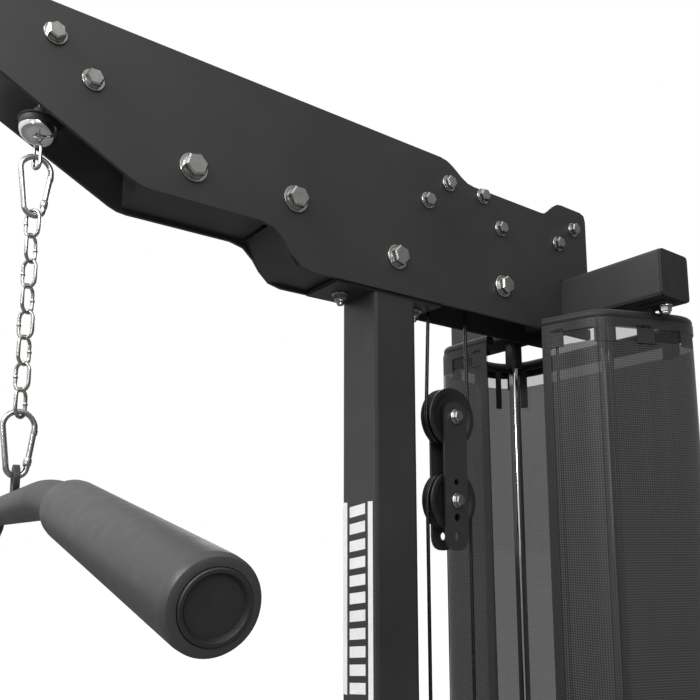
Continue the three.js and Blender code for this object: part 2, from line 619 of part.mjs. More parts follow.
function addSeatFrame() {
  const rail = alongY(tubeSection(-30, 30, SEAT_TOP - 60, SEAT_TOP), -715, -HALF - GAP);
  const post = alongZ(tubeSection(-30, 30, ...POST), TUBE + GAP, SEAT_TOP);
  const bore = box(-27.5, 27.5, POST[0] + 2.5, POST[1] - 2.5, TUBE - 5, SEAT_TOP + 5);
  const [y, z] = LEG_AXIS;
  const ears = SIDES.map(([, s]) => {
    const shape = rounded([[y + 50, z + 26, 0], [y + 50, z - 26, 0], [y - 20, z - 20, 14], [y - 20, z + 20, 14]]);
    return s > 0 ? alongX(shape, 29, 34) : alongX(shape, -34, -29);
  });
  const pin = rodX(-40, 40, LEG_AXIS, 8, 16);
  const saddle = box(-18, 18, -712, -668, SEAT_TOP - 1, SEAT_TOP + 58);
  const rollerBar = rodX(-205, 205, [-690, SEAT_TOP + 42], 11, 16);
  const pinHole = rodX(20, 40, [(POST[0] + POST[1]) / 2, 330], 6, 12);
  const cablePass = box(-9, 9, POST[0] - 5, POST[1] + 5, 90, 110);
  add('seat_frame', cut(join(rail, post, ...ears, pin, saddle, rollerBar), bore, pinHole, cablePass), paint());

  const sleeve = alongZ(tubeSection(-27, 27, POST[0] + 3, POST[1] - 3), 190, SEAT_TOP + 3);
  const tray = alongZ(rectangle(-105, 105, -585, -235, 20), SEAT_TOP + GAP, SEAT_TOP + 6);
  add('seat_carriage', join(sleeve, tray), paint());
  const knob = join(
    rodX(28, 48, [(POST[0] + POST[1]) / 2, 330], 5.5, 12),
    turned([[0, 0], [9, 0], [9, 8], [17, 12], [17, 24], [12, 28], [0, 28]], [44, (POST[0] + POST[1]) / 2, 330], [1, 0, 0], 16),
  );
  add('seat_knob', knob, plastic());
  add('seat_pad', alongZ(rectangle(-150, 150, -605, -205, 40), SEAT_TOP + 6.5, SEAT_TOP + 72), vinyl());
  add('back_pad', alongY(rectangle(-130, 130, 620, 1235, 45), -152, -90), vinyl());
}

function foamRoller(name, [y, z], s) {
  const ring = [[13, 0], [38, 0], [42, 5], [42, 150], [38, 155], [13, 155], [13, 0]];
  add(name, turned(ring, [s * 42, y, z], [s, 0, 0], 16), rubber());
}

function addLegDeveloper() {
  const [y, z] = LEG_AXIS;
  const low = 140;
  const hub = rodX(-28, 28, LEG_AXIS, 24, 20);
  const arm = alongZ(tubeSection(-25, 25, y - 25, y + 25), 112, z - 10);
  const lug = box(-6, 6, y + 24, y + 35, 90, 124);
  const foot = box(-25, 25, y - 25, y + 25, 109, 113);
  const bar = rodX(-205, 205, [y, low], 11, 16);
  const bore = rodX(-40, 40, LEG_AXIS, 8 + GAP, 16);
  add('leg_lever', cut(join(hub, arm, foot, lug, bar), bore), paint());
  for (const [side, s] of SIDES) {
    foamRoller(`knee_roller_${side}`, [-690, SEAT_TOP + 42], s);
    foamRoller(`ankle_roller_${side}`, [y, low], s);
  }
}

// ---------------------------------------------------------------- press arms
function addPressArm() {
  const [y, z] = PRESS_AXIS;
  const hub = rodX(-28, 28, PRESS_AXIS, 25, 20);
  const bore = rodX(-40, 40, PRESS_AXIS, 10 + GAP, 16);
  const cross = alongX(tubeSection(y - 25, y + 25, 163, 213), -318, 318);
  const lugs = SIDES.map(([, s]) => {
    const shape = rounded([[y - 22, 208, 0], [y + 22, 208, 0], [y + 14, 304, 8], [y - 14, 304, 8]]);
    return s > 0 ? alongX(shape, 14, 18) : alongX(shape, -18, -14);
  });
  const pin = rodX(-23, 23, PRESS_PULLEY, AXLE, 12);
  const arms = SIDES.map(([, s]) => swept(bent([
    [s * 298, y, 200], [s * 298, y + 52, 880], [s * 298, y - 14, 965], [s * 165, y - 14, 965],
  ], 45, 3), 16, 8));
  add('press_arm', cut(join(hub, cross, ...lugs, pin, ...arms), bore), paint());
}

addBase();
addUpright();
addBoom();
addBeam();
addPulleys();
addBlock();
addCables();
addHandle();
addStack();
addShroud();
addSeatFrame();
addLegDeveloper();
addPressArm();

export default gym;
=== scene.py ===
"""Looks of the multi station home gym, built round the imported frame. Metres, +Z up."""
import json
import math

import bpy
from mathutils import Matrix, Vector
from mathutils.bvhtree import BVHTree


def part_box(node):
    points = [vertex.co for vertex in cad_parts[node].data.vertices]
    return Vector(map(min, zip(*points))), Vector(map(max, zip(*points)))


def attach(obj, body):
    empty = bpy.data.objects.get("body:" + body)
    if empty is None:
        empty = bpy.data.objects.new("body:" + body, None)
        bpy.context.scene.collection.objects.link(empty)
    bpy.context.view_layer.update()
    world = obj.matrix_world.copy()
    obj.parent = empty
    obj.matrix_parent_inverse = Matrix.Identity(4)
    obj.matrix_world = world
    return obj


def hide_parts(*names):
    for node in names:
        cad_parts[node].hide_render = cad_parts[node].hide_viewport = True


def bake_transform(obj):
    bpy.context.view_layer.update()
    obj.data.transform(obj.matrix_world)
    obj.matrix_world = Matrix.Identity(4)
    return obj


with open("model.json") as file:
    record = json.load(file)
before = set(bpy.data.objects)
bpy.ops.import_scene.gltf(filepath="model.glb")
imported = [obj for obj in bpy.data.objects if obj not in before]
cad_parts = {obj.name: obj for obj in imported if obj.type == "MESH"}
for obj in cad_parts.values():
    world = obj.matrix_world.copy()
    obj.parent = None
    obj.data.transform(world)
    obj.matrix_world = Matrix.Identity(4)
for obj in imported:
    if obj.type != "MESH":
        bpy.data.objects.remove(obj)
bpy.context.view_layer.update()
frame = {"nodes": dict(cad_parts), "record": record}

# ------------------------------------------------------------------ places, from the frame
JOINTS = {j["name"]: j for j in frame["record"]["behaviour"]["joints"]}
MM = 0.001
ORIGIN_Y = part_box("rear_beam")[1].y - 436 * MM        # the upright's centre line
UP = Vector((0, 0, 1))
RIGHT = Vector((1, 0, 0))
PLATE_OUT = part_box("boom_plate_right")[1].x           # outer face of a boom plate
GROOVE = 43 * MM
CABLE = 2.75 * MM
BRIGHT_SIDE = (-0.1, -0.6, 0.79)                      # where the studio is brightest
WORLD_LOW, WORLD_HIGH = 0.06, 0.95
DROP_Y = JOINTS["front_pulley_spin"]["pos_m"][1] - GROOVE


def at(x, y, z):
    """A point given in millimetres from the upright's centre line, in the row frame."""
    return Vector((x * MM, y * MM + ORIGIN_Y, z * MM))


def pulley_centre(name):
    return Vector(JOINTS[name + "_spin"]["pos_m"])


# ------------------------------------------------------------------ materials
TEXTURE_LOW, TEXTURE_HIGH = 0.3, 0.7                  # the part of a noise's range that gets used


def shader(name, color, rough, metal=0.0):
    """A node material with one Principled shader, returned with its tree and shader."""
    material = bpy.data.materials.new(name)
    material.use_nodes = True
    tree = material.node_tree
    bsdf = tree.nodes["Principled BSDF"]
    bsdf.inputs["Base Color"].default_value = (*color, 1)
    bsdf.inputs["Roughness"].default_value = rough
    bsdf.inputs["Metallic"].default_value = metal
    return material, tree, bsdf


def add_node(tree, kind, **inputs):
    """A new shader node, with inputs set by name and underscores for spaces."""
    node = tree.nodes.new("ShaderNode" + kind)
    for name, value in inputs.items():
        node.inputs[name.replace("_", " ")].default_value = value
    return node


def texture(tree, kind, scale, detail=3.0, stretch=(1, 1, 1)):
    """A noise or voronoi texture in object space, stretched along the axes."""
    coords = add_node(tree, "TexCoord")
    mapping = add_node(tree, "Mapping", Scale=stretch)
    tree.links.new(coords.outputs["Object"], mapping.inputs["Vector"])
    node = add_node(tree, "Tex" + kind, Scale=scale)
    if kind == "Noise":
        node.inputs["Detail"].default_value = detail
    tree.links.new(mapping.outputs["Vector"], node.inputs["Vector"])
    return node.outputs["Distance" if kind == "Voronoi" else "Fac"]


def vary(tree, bsdf, socket, factor, low, high):
    """Drives a shader input between two values by a texture."""
    ramp = add_node(tree, "MapRange", From_Min=TEXTURE_LOW, From_Max=TEXTURE_HIGH, To_Min=low, To_Max=high)
    tree.links.new(factor, ramp.inputs["Value"])
    tree.links.new(ramp.outputs["Result"], bsdf.inputs[socket])


def tint(tree, bsdf, factor, dark, light):
    """Mixes the base colour between two colours by a texture."""
    ramp = add_node(tree, "ValToRGB")
    ramp.color_ramp.elements[0].position = TEXTURE_LOW
    ramp.color_ramp.elements[1].position = TEXTURE_HIGH
    ramp.color_ramp.elements[0].color = (*dark, 1)
    ramp.color_ramp.elements[1].color = (*light, 1)
    tree.links.new(factor, ramp.inputs["Fac"])
    tree.links.new(ramp.outputs["Color"], bsdf.inputs["Base Color"])


def bump(tree, bsdf, factor, strength, distance):
    node = add_node(tree, "Bump", Strength=strength, Distance=distance)
    tree.links.new(factor, node.inputs["Height"])
    tree.links.new(node.outputs["Normal"], bsdf.inputs["Normal"])


def powder_coat():
    material, tree, bsdf = shader("black_powder_coat", (0.03, 0.03, 0.031), 0.46)
    tint(tree, bsdf, texture(tree, "Noise", 6), (0.026, 0.0262, 0.027), (0.036, 0.0362, 0.037))
    vary(tree, bsdf, "Roughness", texture(tree, "Noise", 30), 0.42, 0.5)
    bump(tree, bsdf, texture(tree, "Noise", 1400, 2), 0.12, 0.0003)
    bsdf.inputs["Specular IOR Level"].default_value = 0.5
    return material


def zinc():
    material, tree, bsdf = shader("bright_zinc", (0.5, 0.495, 0.47), 0.26, 1)
    tint(tree, bsdf, texture(tree, "Noise", 90), (0.45, 0.445, 0.425), (0.55, 0.545, 0.525))
    vary(tree, bsdf, "Roughness", texture(tree, "Noise", 240), 0.16, 0.28)
    bump(tree, bsdf, texture(tree, "Noise", 500, 1), 0.05, 0.0001)
    return material


def chrome():
    material, tree, bsdf = shader("polished_chrome", (0.8, 0.81, 0.82), 0.08, 1)
    vary(tree, bsdf, "Roughness", texture(tree, "Noise", 60, 2, (6, 6, 0.3)), 0.05, 0.14)
    tint(tree, bsdf, texture(tree, "Noise", 40, 2, (4, 4, 0.2)), (0.74, 0.75, 0.76), (0.84, 0.85, 0.86))
    return material


def cast_iron():
    material, tree, bsdf = shader("painted_cast_iron", (0.03, 0.031, 0.033), 0.55, 0.2)
    tint(tree, bsdf, texture(tree, "Noise", 25), (0.022, 0.0225, 0.024), (0.038, 0.039, 0.041))
    bump(tree, bsdf, texture(tree, "Noise", 350, 4), 0.35, 0.0006)
    return material


def nylon():
    material, tree, bsdf = shader("moulded_nylon", (0.014, 0.0145, 0.016), 0.38)
    tint(tree, bsdf, texture(tree, "Noise", 40), (0.012, 0.0125, 0.014), (0.018, 0.0185, 0.02))
    vary(tree, bsdf, "Roughness", texture(tree, "Noise", 120), 0.32, 0.46)
    bump(tree, bsdf, texture(tree, "Noise", 1800, 2), 0.08, 0.0002)
    return material


def rubber(name, dark, light, rough, grain):
    material, tree, bsdf = shader(name, light, rough)
    tint(tree, bsdf, texture(tree, "Noise", 45), dark, light)
    vary(tree, bsdf, "Roughness", texture(tree, "Noise", 90), rough - 0.05, rough + 0.06)
    bump(tree, bsdf, texture(tree, "Noise", grain, 3), 0.3, 0.0004)
    return material


def vinyl():
    material, tree, bsdf = shader("grained_vinyl", (0.02, 0.02, 0.022), 0.45)
    tint(tree, bsdf, texture(tree, "Noise", 12), (0.016, 0.016, 0.018), (0.026, 0.026, 0.028))
    vary(tree, bsdf, "Roughness", texture(tree, "Noise", 60), 0.4, 0.52)
    bump(tree, bsdf, texture(tree, "Voronoi", 520), 0.4, 0.0006)
    return material


def cable_jacket():
    material, tree, bsdf = shader("cable_jacket", (0.008, 0.008, 0.009), 0.28)
    vary(tree, bsdf, "Roughness", texture(tree, "Noise", 200), 0.22, 0.36)
    tint(tree, bsdf, texture(tree, "Noise", 30), (0.006, 0.006, 0.007), (0.012, 0.012, 0.013))
    return material


THREAD_SCALE = 85
FOLD_SCALE = (16, 1.6, 1)       # folds are narrow round the shroud and long up it
OPEN_BAND = (1.839, 0.0095)    # middle height and half height of the shroud's see-through band


def woven_mesh(name, dark, light, alpha, open_by=0.0):
    """Coated mesh fabric: two crossed thread waves, a little see-through, more so in the open band."""
    material, tree, bsdf = shader(name, light, 0.62)
    uv = add_node(tree, "UVMap")
    waves = []
    for direction in ("X", "Y"):
        wave = add_node(tree, "TexWave", Scale=THREAD_SCALE, Distortion=0.25)
        wave.bands_direction = direction
        tree.links.new(uv.outputs["UV"], wave.inputs["Vector"])
        waves.append(wave.outputs["Fac"])
    cross = add_node(tree, "Math")
    cross.operation = "MULTIPLY"
    tree.links.new(waves[0], cross.inputs[0])
    tree.links.new(waves[1], cross.inputs[1])
    tint(tree, bsdf, cross.outputs["Value"], dark, light)
    bump(tree, bsdf, cross.outputs["Value"], 0.5, 0.0005)
    bsdf.inputs["Alpha"].default_value = alpha
    if open_by:
        split = add_node(tree, "SeparateXYZ")
        tree.links.new(uv.outputs["UV"], split.inputs["Vector"])
        band = add_node(tree, "Math")
        band.operation = "COMPARE"
        tree.links.new(split.outputs["Y"], band.inputs[0])
        band.inputs[1].default_value = OPEN_BAND[0]
        band.inputs[2].default_value = OPEN_BAND[1]
        vary(tree, bsdf, "Alpha", band.outputs["Value"], alpha, alpha - open_by)
    folds = add_node(tree, "TexNoise", Scale=1, Detail=2)
    spread = add_node(tree, "Mapping", Scale=FOLD_SCALE)
    tree.links.new(uv.outputs["UV"], spread.inputs["Vector"])
    tree.links.new(spread.outputs["Vector"], folds.inputs["Vector"])
    vary(tree, bsdf, "Roughness", folds.outputs["Fac"], 0.75, 0.42)
    bsdf.inputs["Sheen Weight"].default_value = 0.45
    bsdf.inputs["Sheen Roughness"].default_value = 0.4
    return material


def decal_white():
    material, tree, bsdf = shader("white_decal", (0.85, 0.85, 0.84), 0.4)
    tint(tree, bsdf, texture(tree, "Noise", 80), (0.8, 0.8, 0.79), (0.88, 0.88, 0.87))
    return material


PAINT = powder_coat()
ZINC = zinc()
CHROME = chrome()
IRON = cast_iron()
NYLON = nylon()
PLASTIC = rubber("grained_plastic", (0.016, 0.016, 0.018), (0.024, 0.024, 0.026), 0.42, 1200)
RUBBER = rubber("black_rubber", (0.02, 0.02, 0.021), (0.03, 0.03, 0.031), 0.55, 700)
GRIP = rubber("grip_rubber", (0.042, 0.042, 0.044), (0.046, 0.046, 0.048), 0.43, 900)
FOAM = rubber("roller_foam", (0.018, 0.018, 0.019), (0.028, 0.028, 0.029), 0.8, 320)
VINYL = vinyl()
JACKET = cable_jacket()
MESH = woven_mesh("shroud_mesh", (0.009, 0.009, 0.0095), (0.075, 0.075, 0.076), 0.9, 0.4)
HEM = woven_mesh("shroud_hem", (0.008, 0.008, 0.009), (0.02, 0.02, 0.021), 1.0)
WHITE = decal_white()

SLOT_MATERIALS = {
    "black_paint": PAINT, "zinc_steel": ZINC, "chrome_steel": CHROME, "cast_iron": IRON,
    "pulley_nylon": NYLON, "black_plastic": PLASTIC, "rubber": RUBBER, "foam_rubber": FOAM,
    "coated_cable": JACKET, "mesh_fabric": MESH, "vinyl": VINYL,
}


# ------------------------------------------------------------------ mesh building
def mesh_object(name, verts, faces, material, smooth_angle=35, uvs=None):
    data = bpy.data.meshes.new(name)
    data.from_pydata([tuple(v) for v in verts], [], faces)
    data.validate()
    data.update()
    if uvs:
        layer = data.uv_layers.new(name="UVMap")
        for loop in data.loops:
            layer.data[loop.index].uv = uvs[loop.vertex_index]
    data.shade_smooth()
    data.set_sharp_from_angle(angle=math.radians(smooth_angle))
    obj = bpy.data.objects.new(name, data)
    bpy.context.scene.collection.objects.link(obj)
    data.materials.append(material)
    return obj


def finish_piece(obj, body, slot, *nodes):
    """Attaches a piece to the body it rides on and hides the CAD nodes it stands for; its slot is not used.
    """
    if nodes:
        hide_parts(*nodes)
    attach(obj, body)
    return obj


def turned_piece(name, profile, origin, axis, segments, material, body, slot, *nodes):
    """One lathed profile as a finished piece."""
    obj = mesh_object(name, *lathe(profile, origin, axis, segments), material)
    return finish_piece(obj, body, slot, *nodes)


def sweep(points, radius, sides=16):
    """Vertices and faces of a closed tube through points, with flat ends."""
    points = [Vector(p) for p in points]
    tangents = []
    for i in range(len(points)):
        before = points[max(i - 1, 0)]
        after = points[min(i + 1, len(points) - 1)]
        tangents.append((after - before).normalized())
    normal = tangents[0].orthogonal().normalized()
    verts, faces = [], []
    for i, (point, tangent) in enumerate(zip(points, tangents)):
        if i:
            normal = tangents[i - 1].rotation_difference(tangent) @ normal
        across = tangent.cross(normal)
        for k in range(sides):
            angle = 2 * math.pi * k / sides
            verts.append(point + radius * (math.cos(angle) * normal + math.sin(angle) * across))
    for i in range(len(points) - 1):
        for k in range(sides):
            a, b = i * sides + k, i * sides + (k + 1) % sides
            faces.append((a, b, b + sides, a + sides))
    faces.append(tuple(reversed(range(sides))))
    faces.append(tuple(range(len(verts) - sides, len(verts))))
    return verts, faces


def ring_sweep(points, radius, sides=12):
    """A tube along a closed loop of points that lie in one plane."""
    points = [Vector(p) for p in points]
    count = len(points)
    plane = (points[1] - points[0]).cross(points[count // 2] - points[0]).normalized()
    verts, faces = [], []
    for i, point in enumerate(points):
        tangent = (points[(i + 1) % count] - points[i - 1]).normalized()
        across = tangent.cross(plane)
        for k in range(sides):
            angle = 2 * math.pi * k / sides
            verts.append(point + radius * (math.cos(angle) * plane + math.sin(angle) * across))
    for i in range(count):
        for k in range(sides):
            a, b = i * sides + k, i * sides + (k + 1) % sides
            c, d = ((i + 1) % count) * sides + k, ((i + 1) % count) * sides + (k + 1) % sides
            faces.append((a, c, d, b))
    return verts, faces


def lathe(profile, origin, axis, segments=48):
    """Turns [radius, height] pairs in millimetres round an axis; an end on the axis closes it."""
    origin, axis = Vector(origin), Vector(axis).normalized()
    u = axis.orthogonal().normalized()
    v = axis.cross(u)
    verts, faces, rings = [], [], []
    for r, h in profile:
        centre = origin + axis * (h * MM)
        if r == 0:
            rings.append([len(verts)])
            verts.append(centre)
            continue
        rings.append(list(range(len(verts), len(verts) + segments)))
        for k in range(segments):
            angle = 2 * math.pi * k / segments
            verts.append(centre + r * MM * (math.cos(angle) * u + math.sin(angle) * v))
    for low, high in zip(rings, rings[1:]):
        for k in range(segments):
            n = (k + 1) % segments
            if len(low) == 1:
                faces.append((low[0], high[n], high[k]))
            elif len(high) == 1:
                faces.append((low[k], low[n], high[0]))
            else:
                faces.append((low[k], low[n], high[n], high[k]))
    if profile[0] == profile[-1]:
        first, last = rings[0], rings[-1]
        swap = dict(zip(last, first))
        faces = [tuple(swap.get(i, i) for i in face) for face in faces]
    return verts, faces


def merged(*parts):
    verts, faces = [], []
    for part_verts, part_faces in parts:
        offset = len(verts)
        verts += part_verts
        faces += [tuple(i + offset for i in face) for face in part_faces]
    return verts, faces


def hex_prism(origin, axis, across_flats, height, chamfer=1.2, turn=0.0):
    """A hexagonal head whose outer corners are rounded off."""
    axis = Vector(axis).normalized()
    u = axis.orthogonal().normalized()
    v = axis.cross(u)
    corner = across_flats / 2 / math.cos(math.pi / 6)
    levels = [(0, corner), (height - chamfer, corner), (height, across_flats / 2 - 0.4)]
    verts, faces = [], []
    for h, r in levels:
        for k in range(6):
            angle = math.pi / 3 * k + turn
            around = math.cos(angle) * u + math.sin(angle) * v
            verts.append(Vector(origin) + axis * (h * MM) + r * MM * around)
    for level in range(2):
        for k in range(6):
            a, b = level * 6 + k, level * 6 + (k + 1) % 6
            faces.append((a, b, b + 6, a + 6))
    faces.append(tuple(reversed(range(6))))
    faces.append(tuple(range(12, 18)))
    return verts, faces


def bevelled_box(name, low, high, material, width=0.002):
    x0, y0, z0 = low
    x1, y1, z1 = high
    verts = [(x, y, z) for z in (z0, z1) for y in (y0, y1) for x in (x0, x1)]
    faces = [(0, 2, 3, 1), (4, 5, 7, 6), (0, 1, 5, 4), (2, 6, 7, 3), (0, 4, 6, 2), (1, 3, 7, 5)]
    obj = mesh_object(name, verts, faces, material, 50)
    bevel = obj.modifiers.new("bevel", "BEVEL")
    bevel.width = width
    bevel.segments = 3
    return obj


def arc(centre, radius, start, end, steps=10):
    """Points round a centre in the plane of X = 0, in degrees from +Y towards +Z."""
    points = []
    for i in range(steps + 1):
        angle = math.radians(start + (end - start) * i / steps)
        points.append(centre + radius * Vector((0, math.cos(angle), math.sin(angle))))
    return points


def line(start, end, steps):
    start, end = Vector(start), Vector(end)
    return [start.lerp(end, i / steps) for i in range(steps + 1)]


def rounded_path(corners, radius, steps=8):
    """A path with its inner corners rounded."""
    corners = [Vector(c) for c in corners]
    path = [corners[0]]
    for before, here, after in zip(corners, corners[1:], corners[2:]):
        start = here + (before - here).normalized() * radius
        end = here + (after - here).normalized() * radius
        for i in range(steps + 1):
            t = i / steps
            path.append(start * (1 - t) ** 2 + here * 2 * t * (1 - t) + end * t * t)
    path.append(corners[-1])
    return path


# ------------------------------------------------------------------ camera, light and stage
CAMERA_AT = (813, -643, 1531)
CAMERA_LOOK = (-0.79927, 0.58177, 0.15074)
LENS, SENSOR, SHIFT_UP = 38.24, 36, 0.1052
DARK_SIDE, LIT_SIDE = -0.6, 0.95                      # where the studio's shade starts and ends
FLOOR_HALF, FLOOR_LEVEL = 60, -0.0005


def make_camera():
    data = bpy.data.cameras.new("camera")
    data.sensor_width = SENSOR
    data.lens = LENS
    data.shift_y = SHIFT_UP
    camera = bpy.data.objects.new("camera", data)
    bpy.context.scene.collection.objects.link(camera)
    camera.location = at(*CAMERA_AT)
    camera.rotation_mode = "QUATERNION"
    camera.rotation_quaternion = Vector(CAMERA_LOOK).to_track_quat("-Z", "Y")
    bpy.context.scene.camera = camera


def area_light(name, place, target, size, power):
    data = bpy.data.lights.new(name, "AREA")
    data.shape = "DISK"
    data.size = size
    data.energy = power
    light = bpy.data.objects.new(name, data)
    bpy.context.scene.collection.objects.link(light)
    light.location = place
    light.rotation_mode = "QUATERNION"
    light.rotation_quaternion = (Vector(target) - Vector(place)).to_track_quat("-Z", "Y")


def seen_or_lit(tree, seen, lit, surface):
    """Shows one shader to the camera and another to every other ray."""
    path = add_node(tree, "LightPath")
    mix = add_node(tree, "MixShader")
    tree.links.new(path.outputs["Is Camera Ray"], mix.inputs["Fac"])
    tree.links.new(lit, mix.inputs[1])
    tree.links.new(seen, mix.inputs[2])
    tree.links.new(mix.outputs["Shader"], surface)


def make_world():
    """A soft studio: white to the camera, and brighter above and in front than below and behind."""
    world = bpy.data.worlds.new("studio")
    bpy.context.scene.world = world
    world.use_nodes = True
    tree = world.node_tree
    lit = tree.nodes["Background"]
    lit.inputs["Color"].default_value = (1, 1, 1, 1)
    direction = add_node(tree, "TexCoord")
    toward = add_node(tree, "VectorMath")
    toward.operation = "DOT_PRODUCT"
    toward.inputs[1].default_value = BRIGHT_SIDE
    tree.links.new(direction.outputs["Generated"], toward.inputs[0])
    ramp = add_node(tree, "MapRange")
    ramp.interpolation_type = "SMOOTHSTEP"
    span = {"From Min": DARK_SIDE, "From Max": LIT_SIDE, "To Min": WORLD_LOW, "To Max": WORLD_HIGH}
    for socket, value in span.items():
        ramp.inputs[socket].default_value = value
    tree.links.new(toward.outputs["Value"], ramp.inputs["Value"])
    tree.links.new(ramp.outputs["Result"], lit.inputs["Strength"])
    seen = add_node(tree, "Background", Color=(1, 1, 1, 1))
    surface = tree.nodes["World Output"].inputs["Surface"]
    seen_or_lit(tree, seen.outputs["Background"], lit.outputs["Background"], surface)


def make_floor():
    """A floor that the camera sees as white, with the machine's soft shadow on it."""
    material, tree, bsdf = shader("pale_floor", (0.22, 0.22, 0.22), 0.9)
    shadowed = add_node(tree, "BsdfDiffuse", Color=(0.35, 0.35, 0.35, 1))
    glow = add_node(tree, "Emission", Strength=0.82)
    both = add_node(tree, "AddShader")
    tree.links.new(shadowed.outputs["BSDF"], both.inputs[0])
    tree.links.new(glow.outputs["Emission"], both.inputs[1])
    surface = tree.nodes["Material Output"].inputs["Surface"]
    seen_or_lit(tree, both.outputs["Shader"], bsdf.outputs["BSDF"], surface)
    corners = [(u * FLOOR_HALF, v * FLOOR_HALF, FLOOR_LEVEL) for u, v in ((-1, -1), (1, -1), (1, 1), (-1, 1))]
    mesh_object("floor", corners, [(0, 1, 2, 3)], material)


def make_lights():
    area_light("key", at(300, -3000, 3800), at(0, -100, 1500), 1.4, 72)
    area_light("corner_strip", at(2600, -3500, 2250), at(0, 0, 1500), 0.4, 14)
    area_light("side", at(2100, -1100, 3000), at(0, -150, 1950), 1.2, 20)
    area_light("rim", at(-2200, 1800, 3200), at(0, 100, 1800), 1.8, 25)
    bpy.context.scene.view_settings.view_transform = "Standard"
    bpy.context.scene.view_settings.look = "None"


make_camera()
make_world()
make_floor()
make_lights()

# ------------------------------------------------------------------ carried-over CAD nodes
NODE_SLOTS = {row["node"]: row["material_slot"] for row in frame["record"]["subparts"]}


def paint_cad_nodes():
    for name, node in frame["nodes"].items():
        node.data.materials.clear()
        node.data.materials.append(SLOT_MATERIALS[NODE_SLOTS[name]])
        node.data.shade_smooth()
        node.data.set_sharp_from_angle(angle=math.radians(32))


paint_cad_nodes()

# ------------------------------------------------------------------ bolts
SMALL = {"washer": 12.4, "flats": 17.5, "head": 7.5, "shank": 5}
LARGE = {"washer": 17.6, "flats": 25, "head": 10.5, "shank": 8}
FLANGE_Z = 1866
GUARDS = [(-472, 2063), (102, 2061), (175, 2061), (399, 2062)]
STRUCTURAL = [(-310, 1960), (-169, 1960), (0, 1921), (216, 1922)]


def washer(origin, axis, outer, inner, thick):
    profile = [(inner, 0), (outer - 0.5, 0), (outer, 0.5), (outer, thick - 0.5), (outer - 0.6, thick),
               (inner, thick), (inner, 0)]
    return lathe(profile, origin, axis, 40)


def hex_head(origin, axis, kind, turn):
    """Washer, flange and a hexagon head with chamfered corners."""
    thick = 2.2
    axis = Vector(axis)
    wide, narrow = kind["flats"] * 0.535, kind["flats"] * 0.46
    flange = [(0, 0), (wide, 0), (wide, 0.9), (narrow, 1.6), (0, 1.6)]
    return merged(
        washer(origin, axis, kind["washer"], kind["shank"] + 0.4, thick),
        lathe(flange, Vector(origin) + axis * (thick * MM), axis, 32),
        hex_prism(Vector(origin) + axis * ((thick + 0.7) * MM), axis, kind["flats"], kind["head"], 1.9, turn),
    )


def through_bolt(name, y, z, kind, turn, *nodes):
    """A bolt through both boom plates: head on one side, washer, nut and thread end on the other."""
    out = PLATE_OUT + 0.0002
    near, far = at(0, y, z) + RIGHT * out, at(0, y, z) - RIGHT * out
    thick, long = kind["shank"], 2 * out / MM
    shank = lathe([(0, 0), (thick, 0), (thick, long), (0, long)], far, RIGHT, 20)
    end = lathe([(0, 0), (thick, 0), (thick - 1, 13), (0, 13)], far, -RIGHT, 20)
    parts = merged(hex_head(near, RIGHT, kind, turn), hex_head(far, -RIGHT, kind, turn + 0.4), shank, end)
    obj = mesh_object(name, *parts, ZINC)
    return finish_piece(obj, "root", "zinc_steel", *nodes)


def make_boom_bolts():
    pulleys = ["front_pulley", "second_pulley", "third_pulley", "rear_pulley"]
    for i, pulley in enumerate(pulleys):
        centre = pulley_centre(pulley)
        y, z = (centre.y - ORIGIN_Y) / MM, centre.z / MM
        through_bolt(f"pulley_bolt_{i + 1}", y, z, SMALL, 0.3 + i, f"boom_axle_{i + 1}")
    for i, (y, z) in enumerate(GUARDS):
        through_bolt(f"cable_guard_bolt_{i + 1}", y, z, SMALL, 0.9 + i * 1.3)
    for i, (y, z) in enumerate(STRUCTURAL):
        through_bolt(f"structural_bolt_{i + 1}", y, z, LARGE, 0.5 + i * 0.8)


def hanging_bolt(name, x, y, z, length=15):
    """The nut, washers and thread end of a bolt that comes down through a plate at height z."""
    origin = at(x, y, z - 0.3)
    down = -UP
    nut = origin + down * (2.4 * MM)
    parts = merged(
        washer(origin, down, 12, 5.3, 2.2),
        hex_prism(nut, down, 16.5, 8, 1.2, 0.4),
        lathe([(7.6, 0), (7.6, 1.6), (5.2, 3.6), (5.2, 0), (7.6, 0)], nut + down * (8 * MM), down, 24),
        lathe([(0, 0), (4.8, 0), (4.8, length - 1), (3.9, length), (0, length)], origin, down, 20),
    )
    return finish_piece(mesh_object(name, *parts, ZINC), "root", "zinc_steel")


def make_small_hardware():
    hanging_bolt("flange_bolt_front", 0, -68, FLANGE_Z, 17)
    hanging_bolt("flange_bolt_rear", 0, 66, FLANGE_Z, 17)
    for side, s in (("right", 1), ("left", -1)):
        hanging_bolt(f"hoop_bolt_{side}", s * 205, 400, 1883.4, 14)
    for level in ("upper", "lower"):
        centre = pulley_centre("block_pulley_" + level)
        kind = {"washer": 11, "flats": 15.5, "head": 6.5, "shank": 5}
        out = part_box("block_strap_right")[1].x + 0.0003
        near, far = centre + RIGHT * out, centre - RIGHT * out
        shank = lathe([(0, 0), (5, 0), (5, 2 * out / MM), (0, 2 * out / MM)], far, RIGHT, 20)
        parts = merged(hex_head(near, RIGHT, kind, 0.5), hex_head(far, -RIGHT, kind, 0.2), shank)
        obj = mesh_object(f"block_bolt_{level}", *parts, ZINC)
        finish_piece(obj, "block", "zinc_steel", f"block_axle_{level}")


make_boom_bolts()
make_small_hardware()


# ------------------------------------------------------------------ pulleys
def half_pulley():
    """One side of a pulley's profile, from the bore out to the groove, in millimetres."""
    return [
        (5.6, -11.6), (10.5, -11.6), (11.3, -10.8), (11.3, -8), (14, -7.4), (30, -7.4), (33, -8.2),
        (36, -10.2), (38, -11), (44, -11), (45, -10.2), (45, -8.6), (41.2, -3.4),
    ]


